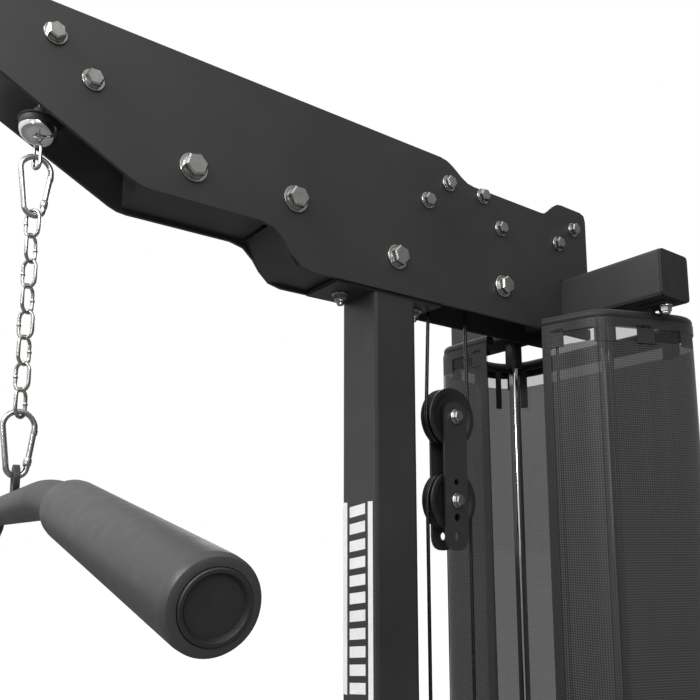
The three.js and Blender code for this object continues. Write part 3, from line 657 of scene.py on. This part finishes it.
def make_pulleys():
    side = half_pulley()
    profile = side + [(39.6, 0)] + [(r, -h) for r, h in reversed(side)] + [side[0]]
    for name in [n for n in frame["nodes"] if "pulley" in n]:
        bush = [(5.2, -11.9), (9, -11.9), (9, 11.9), (5.2, 11.9), (5.2, -11.9)]
        bearing = lathe(bush, pulley_centre(name), RIGHT, 32)
        ring = mesh_object(name + "_bearing", *bearing, ZINC)
        finish_piece(ring, name + "_wheel", "zinc_steel")
        wheel = mesh_object(name + "_moulded", *lathe(profile, pulley_centre(name), RIGHT, 72), NYLON)
        finish_piece(wheel, name + "_wheel", "pulley_nylon", name)


make_pulleys()


# ------------------------------------------------------------------ cables
def cable(name, points, *nodes):
    obj = mesh_object(name, *sweep(points, CABLE, 12), JACKET, 60)
    if nodes:
        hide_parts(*nodes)
    return obj


def stretch(name, start, end, body, steps=24, *nodes):
    """A straight run between the frame, at start, and a body that moves away, at end."""
    obj = cable(name, line(start, end, steps), *nodes)
    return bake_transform(obj)


def on(centre, degrees):
    angle = math.radians(degrees)
    return centre + GROOVE * Vector((0, math.cos(angle), math.sin(angle)))


def make_lat_cable():
    front, second = pulley_centre("front_pulley"), pulley_centre("second_pulley")
    third, rear = pulley_centre("third_pulley"), pulley_centre("rear_pulley")
    upper = pulley_centre("block_pulley_upper")
    ball_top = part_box("ball_stop")[1].z
    stem_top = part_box("head_plate")[1].z
    bar_end = Vector((0, DROP_Y, ball_top - 0.001))
    stretch("cable_bar_drop", on(front, 180), bar_end, "pulldown", 12, "lat_cable")
    boom = arc(front, GROOVE, 180, 90) + arc(second, GROOVE, 90, 0)
    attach(cable("cable_boom_front", boom), "root")
    stretch("cable_block_front", on(second, 0), on(upper, 180), "block")
    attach(cable("cable_block_turn", arc(upper, GROOVE, 180, 360, 20)), "block")
    stretch("cable_block_rear", on(third, 180), on(upper, 0), "block")
    boom = arc(third, GROOVE, 180, 90) + arc(rear, GROOVE, 90, 0)
    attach(cable("cable_boom_rear", boom), "root")
    stretch("cable_stack_drop", on(rear, 0), Vector((0, on(rear, 0).y, stem_top + 0.004)), "stack", 40)


def make_low_cable():
    lower = pulley_centre("block_pulley_lower")
    turn, base = pulley_centre("upright_pulley"), pulley_centre("base_pulley")
    low, press = pulley_centre("low_row_pulley"), pulley_centre("press_pulley")
    lug = at(0, -704.7, 100)
    anchor = at(0, -53.8, (press.z - GROOVE) / MM)
    stretch("cable_press_strand", on(turn, 0), on(lower, 180), "block", 24, "low_cable")
    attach(cable("cable_block_turn_low", arc(lower, GROOVE, 0, 180, 20)), "block")
    stretch("cable_leg_strand", on(base, 0), on(lower, 0), "block")
    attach(cable("cable_upright_turn", arc(turn, GROOVE, 0, -90)), "root")
    hold = 0.09
    top, bottom = on(press, 90), on(press, 270)
    near_top, near_bottom = top + Vector((0, hold, 0)), bottom + Vector((0, hold, 0))
    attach(cable("cable_press_run_upper", line(on(turn, -90), near_top, 4)), "root")
    stretch("cable_press_give_upper", near_top, top, "press_arms", 12)
    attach(cable("cable_press_turn", arc(press, GROOVE, 90, 270, 20)), "press_arms")
    stretch("cable_press_give_lower", near_bottom, bottom, "press_arms", 12)
    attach(cable("cable_press_run_lower", line(near_bottom, anchor, 4)), "root")
    base_run = arc(base, GROOVE, 0, -90) + line(on(base, -90), on(low, -90), 4)[1:]
    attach(cable("cable_base_run", base_run), "root")
    stretch("cable_leg_pull", on(low, -90), lug, "leg_developer", 24)


def make_cable_ends():
    stem_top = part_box("head_plate")[1]
    place = Vector((0, at(0, 398.5, 0).y, stem_top.z - 0.001))
    fitting = [(0, 0), (7.5, 0), (8, 1), (8, 14), (6, 18), (5, 34), (3.2, 38), (0, 38)]
    turned_piece("stack_cable_fitting", fitting, place, UP, 32, ZINC, "stack", "zinc_steel")
    forward = Vector((0, -1, 0))
    sleeve = [(2.9, 0), (4.4, 0), (4.6, 1), (4.6, 21), (4.4, 22), (2.9, 22), (2.9, 0)]
    place = at(0, -699, 100) - forward * 0.018
    turned_piece("leg_cable_crimp", sleeve, place, forward, 24, ZINC, "leg_developer", "zinc_steel")


make_lat_cable()
make_low_cable()
make_cable_ends()


# ------------------------------------------------------------------ ball stop, snap hooks and chain
FACING = Matrix.Rotation(math.radians(90), 4, "Z")    # turns a flat loop into the plane of X = 0
HOOK_TOP, HOOK_BOTTOM, HOOK_SIDE, HOOK_WIRE = 15.5, 10, 21, 3
GATE_NOSE = [(0, -2), (3.5, -2), (4.1, 0), (4.1, 5), (3.3, 7), (0, 7)]
GATE_COLLAR = [(0, 0), (3.4, 0), (3.4, 5), (0, 5)]
GATE_PIN = [(0, 0), (1.3, 0), (1.3, 8), (0, 8)]
LINK_HALF, LINK_WIRE, LINK_COUNT, LINK_TURN = 8, 2, 8, 40
EYE_Z = 1941


def loop_points(outline, centre, turn):
    """A planar outline of (across, up) millimetres, turned about the vertical through centre."""
    return [centre + turn @ Vector((u * MM, 0, v * MM)) for u, v in outline]


def pear_outline(top_r, bottom_r, length, steps=14):
    """A loop whose upper end is wider than its lower end."""
    points = []
    for i in range(steps + 1):
        angle = math.pi * i / steps
        points.append((top_r * math.cos(angle), length / 2 - top_r + top_r * math.sin(angle)))
    for i in range(steps + 1):
        angle = math.pi + math.pi * i / steps
        points.append((bottom_r * math.cos(angle), -length / 2 + bottom_r + bottom_r * math.sin(angle)))
    return points


def stadium_outline(half_width, length, steps=8):
    return pear_outline(half_width, half_width, length, steps)


def make_ball_stop():
    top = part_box("ball_stop")[1].z
    origin = Vector((0, DROP_Y, top))
    down = -UP
    bell = [(0, 0), (5.2, 0), (6.4, 1), (7.4, 4.5), (11, 8), (17, 11), (20.6, 13.5), (21, 15), (21, 22),
            (20.4, 23.5), (0, 23.5)]
    lip = [(19, 12.3), (21.6, 13.2), (22.4, 14.4), (21.6, 15.6), (20.4, 15.8), (19, 12.3)]
    dome = [(0, 23), (19.6, 23), (20.8, 24), (20.6, 27), (19, 31.5), (15.6, 35.5), (10.5, 38.4), (5, 39.6),
            (0, 40)]
    cup = merged(lathe(bell, origin, down), lathe(lip, origin, down))
    finish_piece(mesh_object("ball_stop_bell", *cup, RUBBER), "pulldown", "rubber", "ball_stop")
    turned_piece("ball_stop_dome", dome, origin, down, 48, CHROME, "pulldown", "chrome_steel")
    eye_at = Vector((0, DROP_Y, EYE_Z * MM))
    eye = loop_points(stadium_outline(5.4, 28), eye_at, Matrix.Rotation(0.45, 4, "Z"))
    finish_piece(mesh_object("ball_stop_eye", *ring_sweep(eye, 1.9 * MM), ZINC), "pulldown", "zinc_steel")


def make_snap_hook(name, node, body):
    low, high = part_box(node)
    centre = Vector((0, DROP_Y, (low.z + high.z) / 2))
    outline = pear_outline(HOOK_TOP, HOOK_BOTTOM, (high.z - low.z) / MM - 2 * HOOK_WIRE)
    ring = ring_sweep(loop_points(outline, centre, FACING), HOOK_WIRE * MM, 16)
    side_low = Vector((HOOK_BOTTOM * MM, 0, -HOOK_SIDE * MM))
    side_high = Vector((HOOK_TOP * MM, 0, (HOOK_SIDE - 5.5) * MM))
    side = FACING @ (side_high - side_low)
    gate_low = centre + FACING @ side_low
    nose = lathe(GATE_NOSE, gate_low, side, 24)
    collar = lathe(GATE_COLLAR, gate_low + side * 0.86, side, 24)
    across = FACING @ Vector((0, 1, 0))
    pins = [lathe(GATE_PIN, gate_low + side * t - across * (4 * MM), across, 16) for t in (0.08, 0.9)]
    obj = mesh_object(name, *merged(ring, nose, collar, *pins), ZINC)
    finish_piece(obj, body, "zinc_steel", node)


def make_chain():
    """Welded links between the snap hooks, each turned about a quarter from the last."""
    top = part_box("snap_hook_upper")[0].z + (2 * HOOK_WIRE + 2 * LINK_WIRE) * MM
    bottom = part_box("snap_hook_lower")[1].z - (2 * HOOK_WIRE + 2 * LINK_WIRE) * MM
    pitch = (top - bottom - 2 * LINK_WIRE * MM) / LINK_COUNT
    for i in range(LINK_COUNT):
        centre = Vector((0, DROP_Y, top - LINK_WIRE * MM - pitch * (i + 0.5)))
        angle = math.radians(LINK_TURN - 90 if i % 2 else LINK_TURN) + 0.06 * math.sin(2.1 * i)
        turn = Matrix.Rotation(angle, 4, "Z")
        outline = stadium_outline(LINK_HALF, pitch / MM + LINK_WIRE)
        ring = ring_sweep(loop_points(outline, centre, turn), LINK_WIRE * MM, 14)
        weld_at = centre + turn @ Vector((-LINK_HALF * MM, 0, -2 * MM))
        weld = lathe([(0, 0), (2.1, 0), (2.5, 0.7), (2.5, 2.8), (2.1, 3.6), (0, 3.6)], weld_at, UP, 14)
        obj = mesh_object(f"chain_link_{i + 1}", *merged(ring, weld), ZINC)
        finish_piece(obj, "pulldown", "zinc_steel", *(["chain"] if i == 0 else []))


make_ball_stop()
make_snap_hook("snap_hook_top", "snap_hook_upper", "pulldown")
make_snap_hook("snap_hook_bottom", "snap_hook_lower", "bar")
make_chain()


# ------------------------------------------------------------------ pulldown bar
BAR_Z = 1560
BAR_TURN = Matrix.Rotation(math.radians(-5.3), 4, "Z")
BEND_X, END_X, BAR_BACK, BAR_DROP = 235, 535, 13, 55
GRIP_START, GRIP_LENGTH = 58.4, 254


def bar_point(x, y, z):
    return Vector((0, DROP_Y, BAR_Z * MM)) + BAR_TURN @ Vector((x * MM, y * MM, z * MM))


def make_bar():
    end = (BAR_BACK, -BAR_DROP)
    corners = [(-END_X, *end), (-BEND_X, 0, 0), (BEND_X, 0, 0), (END_X, *end)]
    path = rounded_path([bar_point(*c) for c in corners], 60 * MM, 12)
    tube = mesh_object("pulldown_bar", *sweep(path, 16 * MM, 40), PAINT)
    finish_piece(tube, "bar", "black_paint", "lat_bar")
    half, hole_z, hole = 13, 28.5, 7.5
    outline = [(-half, 10), (half, 10)]
    for i in range(17):
        angle = math.pi * i / 16
        outline.append((half * math.cos(angle), 30.7 + half * math.sin(angle)))
    ring = []
    for i in range(24):
        angle = math.pi * i / 12
        ring.append((hole * math.cos(angle), hole_z + hole * math.sin(angle)))
    curve = bpy.data.curves.new("bar_eye", "CURVE")
    curve.dimensions = "2D"
    curve.fill_mode = "BOTH"
    curve.extrude = 2.6 * MM
    curve.bevel_depth = 0.5 * MM
    for points in (outline, ring):
        spline = curve.splines.new("POLY")
        spline.points.add(len(points) - 1)
        for point, (u, v) in zip(spline.points, points):
            point.co = (u * MM, v * MM, 0, 1)
        spline.use_cyclic_u = True
    drawn = bpy.data.objects.new("bar_eye_curve", curve)
    bpy.context.scene.collection.objects.link(drawn)
    bpy.context.view_layer.update()
    data = bpy.data.meshes.new_from_object(drawn.evaluated_get(bpy.context.evaluated_depsgraph_get()))
    bpy.data.objects.remove(drawn)
    eye_piece = bpy.data.objects.new("bar_eye", data)
    bpy.context.scene.collection.objects.link(eye_piece)
    stand = Matrix(((1, 0, 0, 0), (0, 0, 1, 0), (0, 1, 0, 0), (0, 0, 0, 1)))
    data.transform(Matrix.Translation((0, DROP_Y, BAR_Z * MM)) @ BAR_TURN @ stand)
    data.materials.clear()
    data.materials.append(PAINT)
    finish_piece(eye_piece, "bar", "black_paint")


def make_grips():
    for side, s in (("right", 1), ("left", -1)):
        along = BAR_TURN @ Vector((s * (END_X - BEND_X), BAR_BACK, -BAR_DROP)).normalized()
        start = bar_point(s * BEND_X, 0, 0) + along * (GRIP_START * MM)
        length = GRIP_LENGTH
        sleeve = [(16.2, 0), (17.4, 0), (19, 0.8), (20.4, 3), (21.2, 7), (21.5, 13), (21.5, length - 7),
                  (21.2, length - 3), (20, length - 0.8), (18, length), (16.2, length), (16.2, 0)]
        grip = mesh_object(f"bar_grip_sleeve_{side}", *lathe(sleeve, start, along, 72), GRIP)
        finish_piece(grip, "bar", "rubber", f"bar_grip_{side}")
        cap = [(0, 0), (15.9, 0), (15.9, 4), (15.4, 4.6), (14, 4.6), (13.2, 3.6), (12.6, 2.2), (0, 2.2)]
        place = start + along * ((length - 3.4) * MM)
        turned_piece(f"bar_end_plug_{side}", cap, place, along, 64, PLASTIC, "bar", "black_plastic")


make_bar()
make_grips()


# ------------------------------------------------------------------ guide rods and weight stack
def make_rods():
    for side in ("right", "left"):
        low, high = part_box("guide_rod_" + side)
        centre = (low + high) / 2
        base = Vector((centre.x, centre.y, low.z))
        length = (high.z - low.z) / MM
        profile = [(0, 0), (9, 0), (9.5, 0.6), (9.5, length - 0.6), (9, length), (0, length)]
        rod = mesh_object(f"chrome_rod_{side}", *lathe(profile, base, UP, 48), CHROME)
        finish_piece(rod, "root", "chrome_steel", "guide_rod_" + side)
        top = Vector((centre.x, centre.y, 1841 * MM))
        sleeve = [(9.9, -1), (14.4, -1), (15, 0), (15, 45), (9.9, 45), (9.9, -1)]
        turned_piece(f"rod_sleeve_{side}", sleeve, top, UP, 40, PLASTIC, "root", "black_plastic")
        low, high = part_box("bumper_" + side)
        ring = [(9.9, 0), (24, 0), (24.4, 1), (24.4, 5), (22.6, 8), (22.6, 10), (24.4, 13), (24.4, 20),
                (22.6, 23), (22.6, 25), (24.4, 28), (24, 34), (21, 39), (9.9, 39.4), (9.9, 0)]
        place = Vector((centre.x, centre.y, low.z))
        turned_piece(f"bumper_ring_{side}", ring, place, UP, 40, RUBBER, "root", "rubber", "bumper_" + side)


make_rods()


# ------------------------------------------------------------------ weight stack
PLATE_PITCH = 28 * MM


def make_plates(node, body, count):
    """Separate cast plates with their guide bushes and selector holes."""
    low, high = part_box(node)
    middle_y = (low.y + high.y) / 2
    for i in range(count):
        bottom = low.z + i * PLATE_PITCH
        name = f"{node}_plate_{i + 1}"
        top = bottom + PLATE_PITCH - 0.0012
        plate = bevelled_box(name, (low.x, low.y, bottom + 0.0008), (high.x, high.y, top), IRON)
        finish_piece(plate, body, "cast_iron", *([node] if i == 0 else []))
        ring = lathe([(4.6, 0), (7.5, 0), (7.5, 1.4), (4.6, 1.4), (4.6, 0)],
                     Vector((0, low.y, bottom + PLATE_PITCH / 2)), (0, -1, 0), 28)
        finish_piece(mesh_object(name + "_hole_ring", *ring, ZINC), body, "zinc_steel")
        for side in (-1, 1):
            place = Vector((side * 100 * MM, middle_y, bottom + 0.0004))
            bush = lathe([(9.9, 0), (13.5, 0), (13.5, 27), (9.9, 27), (9.9, 0)], place, UP, 32)
            label = "left" if side < 0 else "right"
            finish_piece(mesh_object(f"{name}_bush_{label}", *bush, PLASTIC), body, "black_plastic")


def make_stack():
    make_plates("resting_plates", "root", 7)
    make_plates("lifted_plates", "stack", 5)


make_stack()


# ------------------------------------------------------------------ padded parts
PAD_VOXEL = 7 * MM
PAD_STEPS = 20
PAD_CAP = 7 * MM
PAD_SHRINK = 4 * MM
BOARD_INSET, BOARD_THICK = 0.006, 0.011


def rounded_rectangle(half_u, half_v, radius, steps=8):
    points = []
    for corner in range(4):
        su, sv = ((1, 1), (-1, 1), (-1, -1), (1, -1))[corner]
        for i in range(steps + 1):
            angle = math.pi / 2 * (corner + i / steps)
            u = su * (half_u - radius) + radius * math.cos(angle)
            v = sv * (half_v - radius) + radius * math.sin(angle)
            points.append((u, v))
    return points


def prism(outline, place, u_axis, v_axis, depth, depth_axis):
    """A closed prism from an outline of (u, v) pairs in metres."""
    verts = [place + u_axis * u + v_axis * v for u, v in outline]
    verts += [v + depth_axis * depth for v in verts]
    count = len(outline)
    faces = [(i, (i + 1) % count, (i + 1) % count + count, i + count) for i in range(count)]
    faces += [tuple(reversed(range(count))), tuple(range(count, 2 * count))]
    return verts, faces


def apply_modifiers(obj):
    graph = bpy.context.evaluated_depsgraph_get()
    data = bpy.data.meshes.new_from_object(obj.evaluated_get(graph))
    obj.modifiers.clear()
    old = obj.data
    obj.data = data
    bpy.data.meshes.remove(old)


def inflate(obj, flat_at, away):
    """Blows a pad up with cloth pressure; points near its backing board stay where they are."""
    remesh = obj.modifiers.new("remesh", "REMESH")
    remesh.mode = "VOXEL"
    remesh.voxel_size = PAD_VOXEL
    apply_modifiers(obj)
    rest = [v.co.copy() for v in obj.data.vertices]
    held = obj.vertex_groups.new(name="held")
    board = [v.index for v in obj.data.vertices if (v.co - flat_at).dot(away) < 9 * MM]
    held.add(board, 1.0, "REPLACE")
    cloth = obj.modifiers.new("cloth", "CLOTH")
    cloth.settings.use_pressure = True
    cloth.settings.uniform_pressure_force = 4
    cloth.settings.quality = 5
    cloth.settings.vertex_group_mass = "held"
    cloth.settings.effector_weights.gravity = 0
    scene = bpy.context.scene
    for step in range(1, PAD_STEPS + 1):
        scene.frame_set(step)
    apply_modifiers(obj)
    scene.frame_set(1)
    for vertex, start in zip(obj.data.vertices, rest):
        moved = vertex.co - start
        if moved.length > PAD_CAP:
            vertex.co = start + moved.normalized() * PAD_CAP
    smooth = obj.modifiers.new("smooth", "SMOOTH")
    smooth.iterations = 3
    smooth.factor = 0.5
    subdivide = obj.modifiers.new("subdivide", "SUBSURF")
    subdivide.levels = 1
    subdivide.render_levels = 1
    apply_modifiers(obj)
    obj.data.shade_smooth()


def piping(name, pad, outline, place, u_axis, v_axis, body):
    """A welt cord that follows the pad's real side."""
    tree = BVHTree.FromObject(pad, bpy.context.evaluated_depsgraph_get())
    points = []
    for u, v in outline:
        side = (u_axis * u + v_axis * v)
        outside = place + side * 1.25
        hit = tree.ray_cast(outside, -side.normalized())[0]
        points.append(hit if hit else place + side)
    cord = mesh_object(name, *ring_sweep(points, 2.4 * MM, 10), VINYL, 80)
    return finish_piece(cord, body, "vinyl")


def make_pad(name, node, body, u_axis, v_axis, away, radius):
    """A crowned cushion on its backing board, from the space of a CAD pad."""
    low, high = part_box(node)
    middle = (low + high) / 2
    size = high - low
    half_u, half_v = abs(size.dot(u_axis)) / 2, abs(size.dot(v_axis)) / 2
    thick = abs(size.dot(away))
    board_at = middle - away * (thick / 2)
    edge = rounded_rectangle(half_u - BOARD_INSET, half_v - BOARD_INSET, radius - BOARD_INSET)
    board = prism(edge, board_at, u_axis, v_axis, BOARD_THICK, away)
    finish_piece(mesh_object(name + "_board", *board, PLASTIC), body, "vinyl")
    outline = rounded_rectangle(half_u - PAD_SHRINK, half_v - PAD_SHRINK, radius)
    foam_at = board_at + away * BOARD_THICK
    shape = prism(outline, foam_at, u_axis, v_axis, thick - BOARD_THICK - PAD_SHRINK, away)
    pad = mesh_object(name + "_cushion", *shape, VINYL)
    inflate(pad, foam_at, away)
    finish_piece(pad, body, "vinyl", node)
    welt = rounded_rectangle(half_u, half_v, radius, 12)
    longer = []
    for (u0, v0), (u1, v1) in zip(welt, welt[1:] + welt[:1]):
        pieces = max(1, round(math.hypot(u1 - u0, v1 - v0) / 0.02))
        longer += [(u0 + (u1 - u0) * k / pieces, v0 + (v1 - v0) * k / pieces) for k in range(pieces)]
    for level, height in (("lower", 0.014), ("upper", thick - 0.017)):
        piping(f"{name}_welt_{level}", pad, longer, board_at + away * height, u_axis, v_axis, body)


BACKWARD = Vector((0, 1, 0))
make_pad("seat", "seat_pad", "seat", RIGHT, BACKWARD, UP, 0.04)
make_pad("back", "back_pad", "root", UP, RIGHT, -BACKWARD, 0.045)


def make_rollers():
    skin = [(13, 1), (30, 0.6), (35, 0), (38.5, 0.8), (41, 3), (42, 6.5), (41.6, 40), (41.2, 77), (41.6, 115),
            (42, 148.5), (41, 152), (38.5, 154.2), (35, 155), (30, 154.4), (13, 154), (13, 1)]
    cap = [(0, 0), (15, 0), (15, 1.6), (12.5, 4), (6, 5.6), (0, 6)]
    for place, body in (("knee", "root"), ("ankle", "leg_developer")):
        for side, s in (("right", 1), ("left", -1)):
            node = f"{place}_roller_{side}"
            low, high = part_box(node)
            centre = (low + high) / 2
            out = RIGHT * s
            start = Vector((low.x if s > 0 else high.x, centre.y, centre.z))
            foam = mesh_object(node + "_sleeve", *lathe(skin, start, out, 56), FOAM, 50)
            finish_piece(foam, node + "_foam", "foam_rubber", node)
            end = start + out * (155.2 * MM)
            plug = lathe([(11.4, 0), (19, 0), (19, 1.5), (16, 4), (11.4, 4.6), (11.4, 0)], end, out, 32)
            finish_piece(mesh_object(node + "_washer", *plug, PLASTIC), node + "_foam", "black_plastic")
            tip = Vector((s * 205.2 * MM, centre.y, centre.z))
            turned_piece(node + "_bar_cap", cap, tip, out, 32, PLASTIC, body, "black_plastic")


make_rollers()


# ------------------------------------------------------------------ shroud
SHROUD_Z = (118, 1861)
RIM_Z, LOW_RIM_Z = 1870, 109
HOOP_INSET = 9
CORNERS = {"right": (152, 309), "left": (178, 284)}
SIDE_X, REAR_Y, FRONT_EDGE = 230, 511, (60, 285)
CLOTH_COLUMNS, CLOTH_ROWS = 132, 150
CLOTH_STEPS = 26
CLOTH_CAP = 9 * MM
HEM_WIDTH = 0.014
TOP_HEM = 0.011
TIE_HALF, TIE_Z = 0.016, (1.826, 1.855)
HANGING_HALF, HANGING_Z = 0.009, (1.785, 1.862)
TIE_PLACES = (0.02, 0.1, 0.17, 0.25, 0.34)    # distances back from each front edge
REAR_STRAPS = (0.1435, 0.21)               # distances from the middle of the rear, to the left


def plan_half(corner):
    corner = Vector((*corner, 0))
    rear_corner = Vector((SIDE_X, REAR_Y, 0))
    waist = (corner + rear_corner) / 2
    front = rounded_path([Vector((*FRONT_EDGE, 0)), corner, waist], 26, 8)
    rear = rounded_path([waist, rear_corner, Vector((0, REAR_Y, 0))], 95, 16)
    return front + rear[1:]


def plan_line():
    """The shroud's plan from its right front edge round the rear to its left front edge."""
    right = plan_half(CORNERS["right"])
    left = [Vector((-p.x, p.y, 0)) for p in plan_half(CORNERS["left"])]
    return [at(p.x, p.y, 0) for p in right + left[:-1][::-1]]


class Plan:
    """Places along the plan by distance from the right front edge."""

    def __init__(self):
        self.points = plan_line()
        self.far = [0.0]
        for a, b in zip(self.points, self.points[1:]):
            self.far.append(self.far[-1] + (b - a).length)
        self.length = self.far[-1]

    def place(self, distance, z, out=0.0):
        distance = min(max(distance, 0), self.length)
        i = 1
        while self.far[i] < distance and i < len(self.far) - 1:
            i += 1
        a, b = self.points[i - 1], self.points[i]
        t = (distance - self.far[i - 1]) / (self.far[i] - self.far[i - 1])
        along = (b - a).normalized()
        outward = Vector((along.y, -along.x, 0))
        point = a.lerp(b, t) + outward * out
        return Vector((point.x, point.y, z))


PLAN = Plan()


def strip(name, start, end, low, high, material, out, columns=2, rows=40):
    """A band of cloth on the shroud between two distances and two heights."""
    verts, uvs, faces = [], [], []
    for r in range(rows + 1):
        for c in range(columns + 1):
            distance = start + (end - start) * c / columns
            z = low + (high - low) * r / rows
            verts.append(PLAN.place(distance, z, out))
            uvs.append((distance, z))
    for r in range(rows):
        for c in range(columns):
            a = r * (columns + 1) + c
            faces.append((a, a + 1, a + columns + 2, a + columns + 1))
    obj = mesh_object(name, verts, faces, material, 60, uvs)
    return obj


def make_shroud_sheet():
    """The mesh sheet, hung between the hoops with a little slack and settled as cloth."""
    low, high = SHROUD_Z[0] * MM, SHROUD_Z[1] * MM
    sheet = strip("shroud_sheet", 0, PLAN.length, low, high, MESH, -0.0012, CLOTH_COLUMNS, CLOTH_ROWS)
    rest = [v.co.copy() for v in sheet.data.vertices]
    held = sheet.vertex_groups.new(name="held")
    for vertex in sheet.data.vertices:
        edge = min(vertex.co.z - low, high - vertex.co.z)
        if edge < 0.02:
            held.add([vertex.index], 1.0, "REPLACE")
    cloth = sheet.modifiers.new("cloth", "CLOTH")
    cloth.settings.quality = 6
    cloth.settings.mass = 0.25
    cloth.settings.tension_stiffness = 25
    cloth.settings.compression_stiffness = 25
    cloth.settings.shear_stiffness = 8
    cloth.settings.bending_stiffness = 1.2
    cloth.settings.shrink_min = -0.012
    cloth.settings.shrink_max = -0.012
    cloth.settings.vertex_group_mass = "held"
    scene = bpy.context.scene
    for step in range(1, CLOTH_STEPS + 1):
        scene.frame_set(step)
    apply_modifiers(sheet)
    scene.frame_set(1)
    for vertex, start in zip(sheet.data.vertices, rest):
        moved = vertex.co - start
        moved.z *= 0.5
        if moved.length > CLOTH_CAP:
            moved = moved.normalized() * CLOTH_CAP
        vertex.co = start + moved
    sheet.data.shade_smooth()
    return sheet


def make_shroud_trim():
    """Bound edges, top and bottom hems, and two stitch lines at each front corner."""
    low, high = SHROUD_Z[0] * MM, SHROUD_Z[1] * MM
    trim = []
    for side, start, end in (("right", 0, HEM_WIDTH), ("left", PLAN.length - HEM_WIDTH, PLAN.length)):
        trim.append(strip(f"shroud_edge_binding_{side}", start, end, low, high, HEM, 0.0012, 3, 60))
    for level, bottom, top in (("top", high - TOP_HEM, high + 0.004), ("bottom", low - 0.009, low + 0.026)):
        trim.append(strip(f"shroud_{level}_hem", 0, PLAN.length, bottom, top, HEM, 0.0006, CLOTH_COLUMNS, 3))
    corner = (Vector(CORNERS["right"]) - Vector(FRONT_EDGE)).length * MM
    corner_left = (Vector(CORNERS["left"]) - Vector(FRONT_EDGE)).length * MM
    for side, middle in (("right", corner), ("left", PLAN.length - corner_left)):
        for k, offset in enumerate((-0.006, 0.006)):
            line_at = [PLAN.place(middle + offset, low + (high - low) * i / 60, 0.0012) for i in range(61)]
            trim.append(mesh_object(f"shroud_seam_{side}_{k + 1}", *sweep(line_at, 0.6 * MM, 6), HEM))
    return trim


def make_rims():
    """Cloth sleeves round the hoops."""
    rims = []
    for name, z in (("shroud_rim_top", RIM_Z), ("shroud_rim_bottom", LOW_RIM_Z)):
        count = 120
        points = [PLAN.place(PLAN.length * i / count, z * MM, -HOOP_INSET * MM) for i in range(count + 1)]
        rim = mesh_object(name, *sweep(points, 9.2 * MM, 14), HEM, 60)
        rims.append(rim)
    return rims


def make_straps():
    """Straps that tie the sheet's rim to the top hoop, and two longer ones hanging inside at the rear."""
    ties = list(TIE_PLACES) + [PLAN.length - d for d in TIE_PLACES]
    hanging = [PLAN.length / 2 + d for d in REAR_STRAPS]
    straps = []
    for i, distance in enumerate(ties):
        span = (distance - TIE_HALF, distance + TIE_HALF)
        straps.append(strip(f"shroud_tie_{i + 1}", *span, *TIE_Z, HEM, 0.0006, 2, 4))
    for i, distance in enumerate(hanging):
        span = (distance - HANGING_HALF, distance + HANGING_HALF)
        straps.append(strip(f"shroud_strap_{i + 1}", *span, *HANGING_Z, PLASTIC, -0.012, 2, 6))
    return straps


def make_shroud():
    sheet = make_shroud_sheet()
    trim = make_shroud_trim() + make_rims() + make_straps()
    for piece in trim:
        finish_piece(piece, "root", "mesh_fabric")
    finish_piece(sheet, "root", "mesh_fabric", "shroud")


make_shroud()


# ------------------------------------------------------------------ decal, plugs and feet
def plaque(name, low, high, slant=0.0):
    """A thin white strip on the upright's front face, from (x, z) to (x, z) in millimetres."""
    front = -37.5 - 0.15
    (x0, z0), (x1, z1) = low, high
    corners = [at(x0, front, z0), at(x1, front, z0 + slant), at(x1, front, z1 + slant), at(x0, front, z1)]
    obj = mesh_object(name, corners, [(0, 1, 2, 3)], WHITE)
    return finish_piece(obj, "root", "black_paint")


def make_decal():
    """Two plain stripes with a row of slanted blocks between them."""
    bottom, top = 1323, 1578
    plaque("decal_stripe_left", (-35.5, bottom), (-25, top))
    plaque("decal_stripe_right", (21.5, bottom), (32, top))
    count = 11
    pitch = (top - bottom) / count
    for i in range(count):
        z = bottom + i * pitch + 2
        plaque(f"decal_block_{i + 1}", (-19.5, z), (15.5, z + pitch * 0.62), 5)


def make_plugs():
    """Plastic plugs in the open ends of the foot tubes."""
    for node in ("front_foot", "rear_foot"):
        low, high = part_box(node)
        y = (low.y + high.y) / 2
        if node == "front_foot":
            y = low.y + 37.5 * MM
        for side, x in (("right", high.x), ("left", low.x)):
            out = 1 if side == "right" else -1
            place = Vector((x, y, 37.5 * MM))
            outline = rounded_rectangle(0.037, 0.037, 0.005, 5)
            lip = place + RIGHT * (out * 0.0003)
            plug = prism(outline, lip, RIGHT.cross(UP) * out, UP, 0.003, RIGHT * out)
            name = f"{node}_plug_{side}"
            finish_piece(mesh_object(name, *plug, PLASTIC), "root", "black_plastic")


def make_treads():
    """Grip tape on the two foot plates."""
    for side, s in (("right", 1), ("left", -1)):
        lower = at(0, -900 + 30, 77)
        upper = at(0, -900 + 82, 236)
        along = (upper - lower).normalized()
        normal = Vector((0, along.z, -along.y))
        start = lower + along * 0.03 + normal * 0.0006
        end = lower + along * 0.145 + normal * 0.0006
        x0, x1 = s * 220 * MM, s * 312 * MM
        corners = [start + RIGHT * x0, start + RIGHT * x1, end + RIGHT * x1, end + RIGHT * x0]
        tape = mesh_object(f"tread_tape_{side}", corners, [(0, 1, 2, 3)], RUBBER)
        finish_piece(tape, "root", "rubber")


make_decal()
make_plugs()
make_treads()
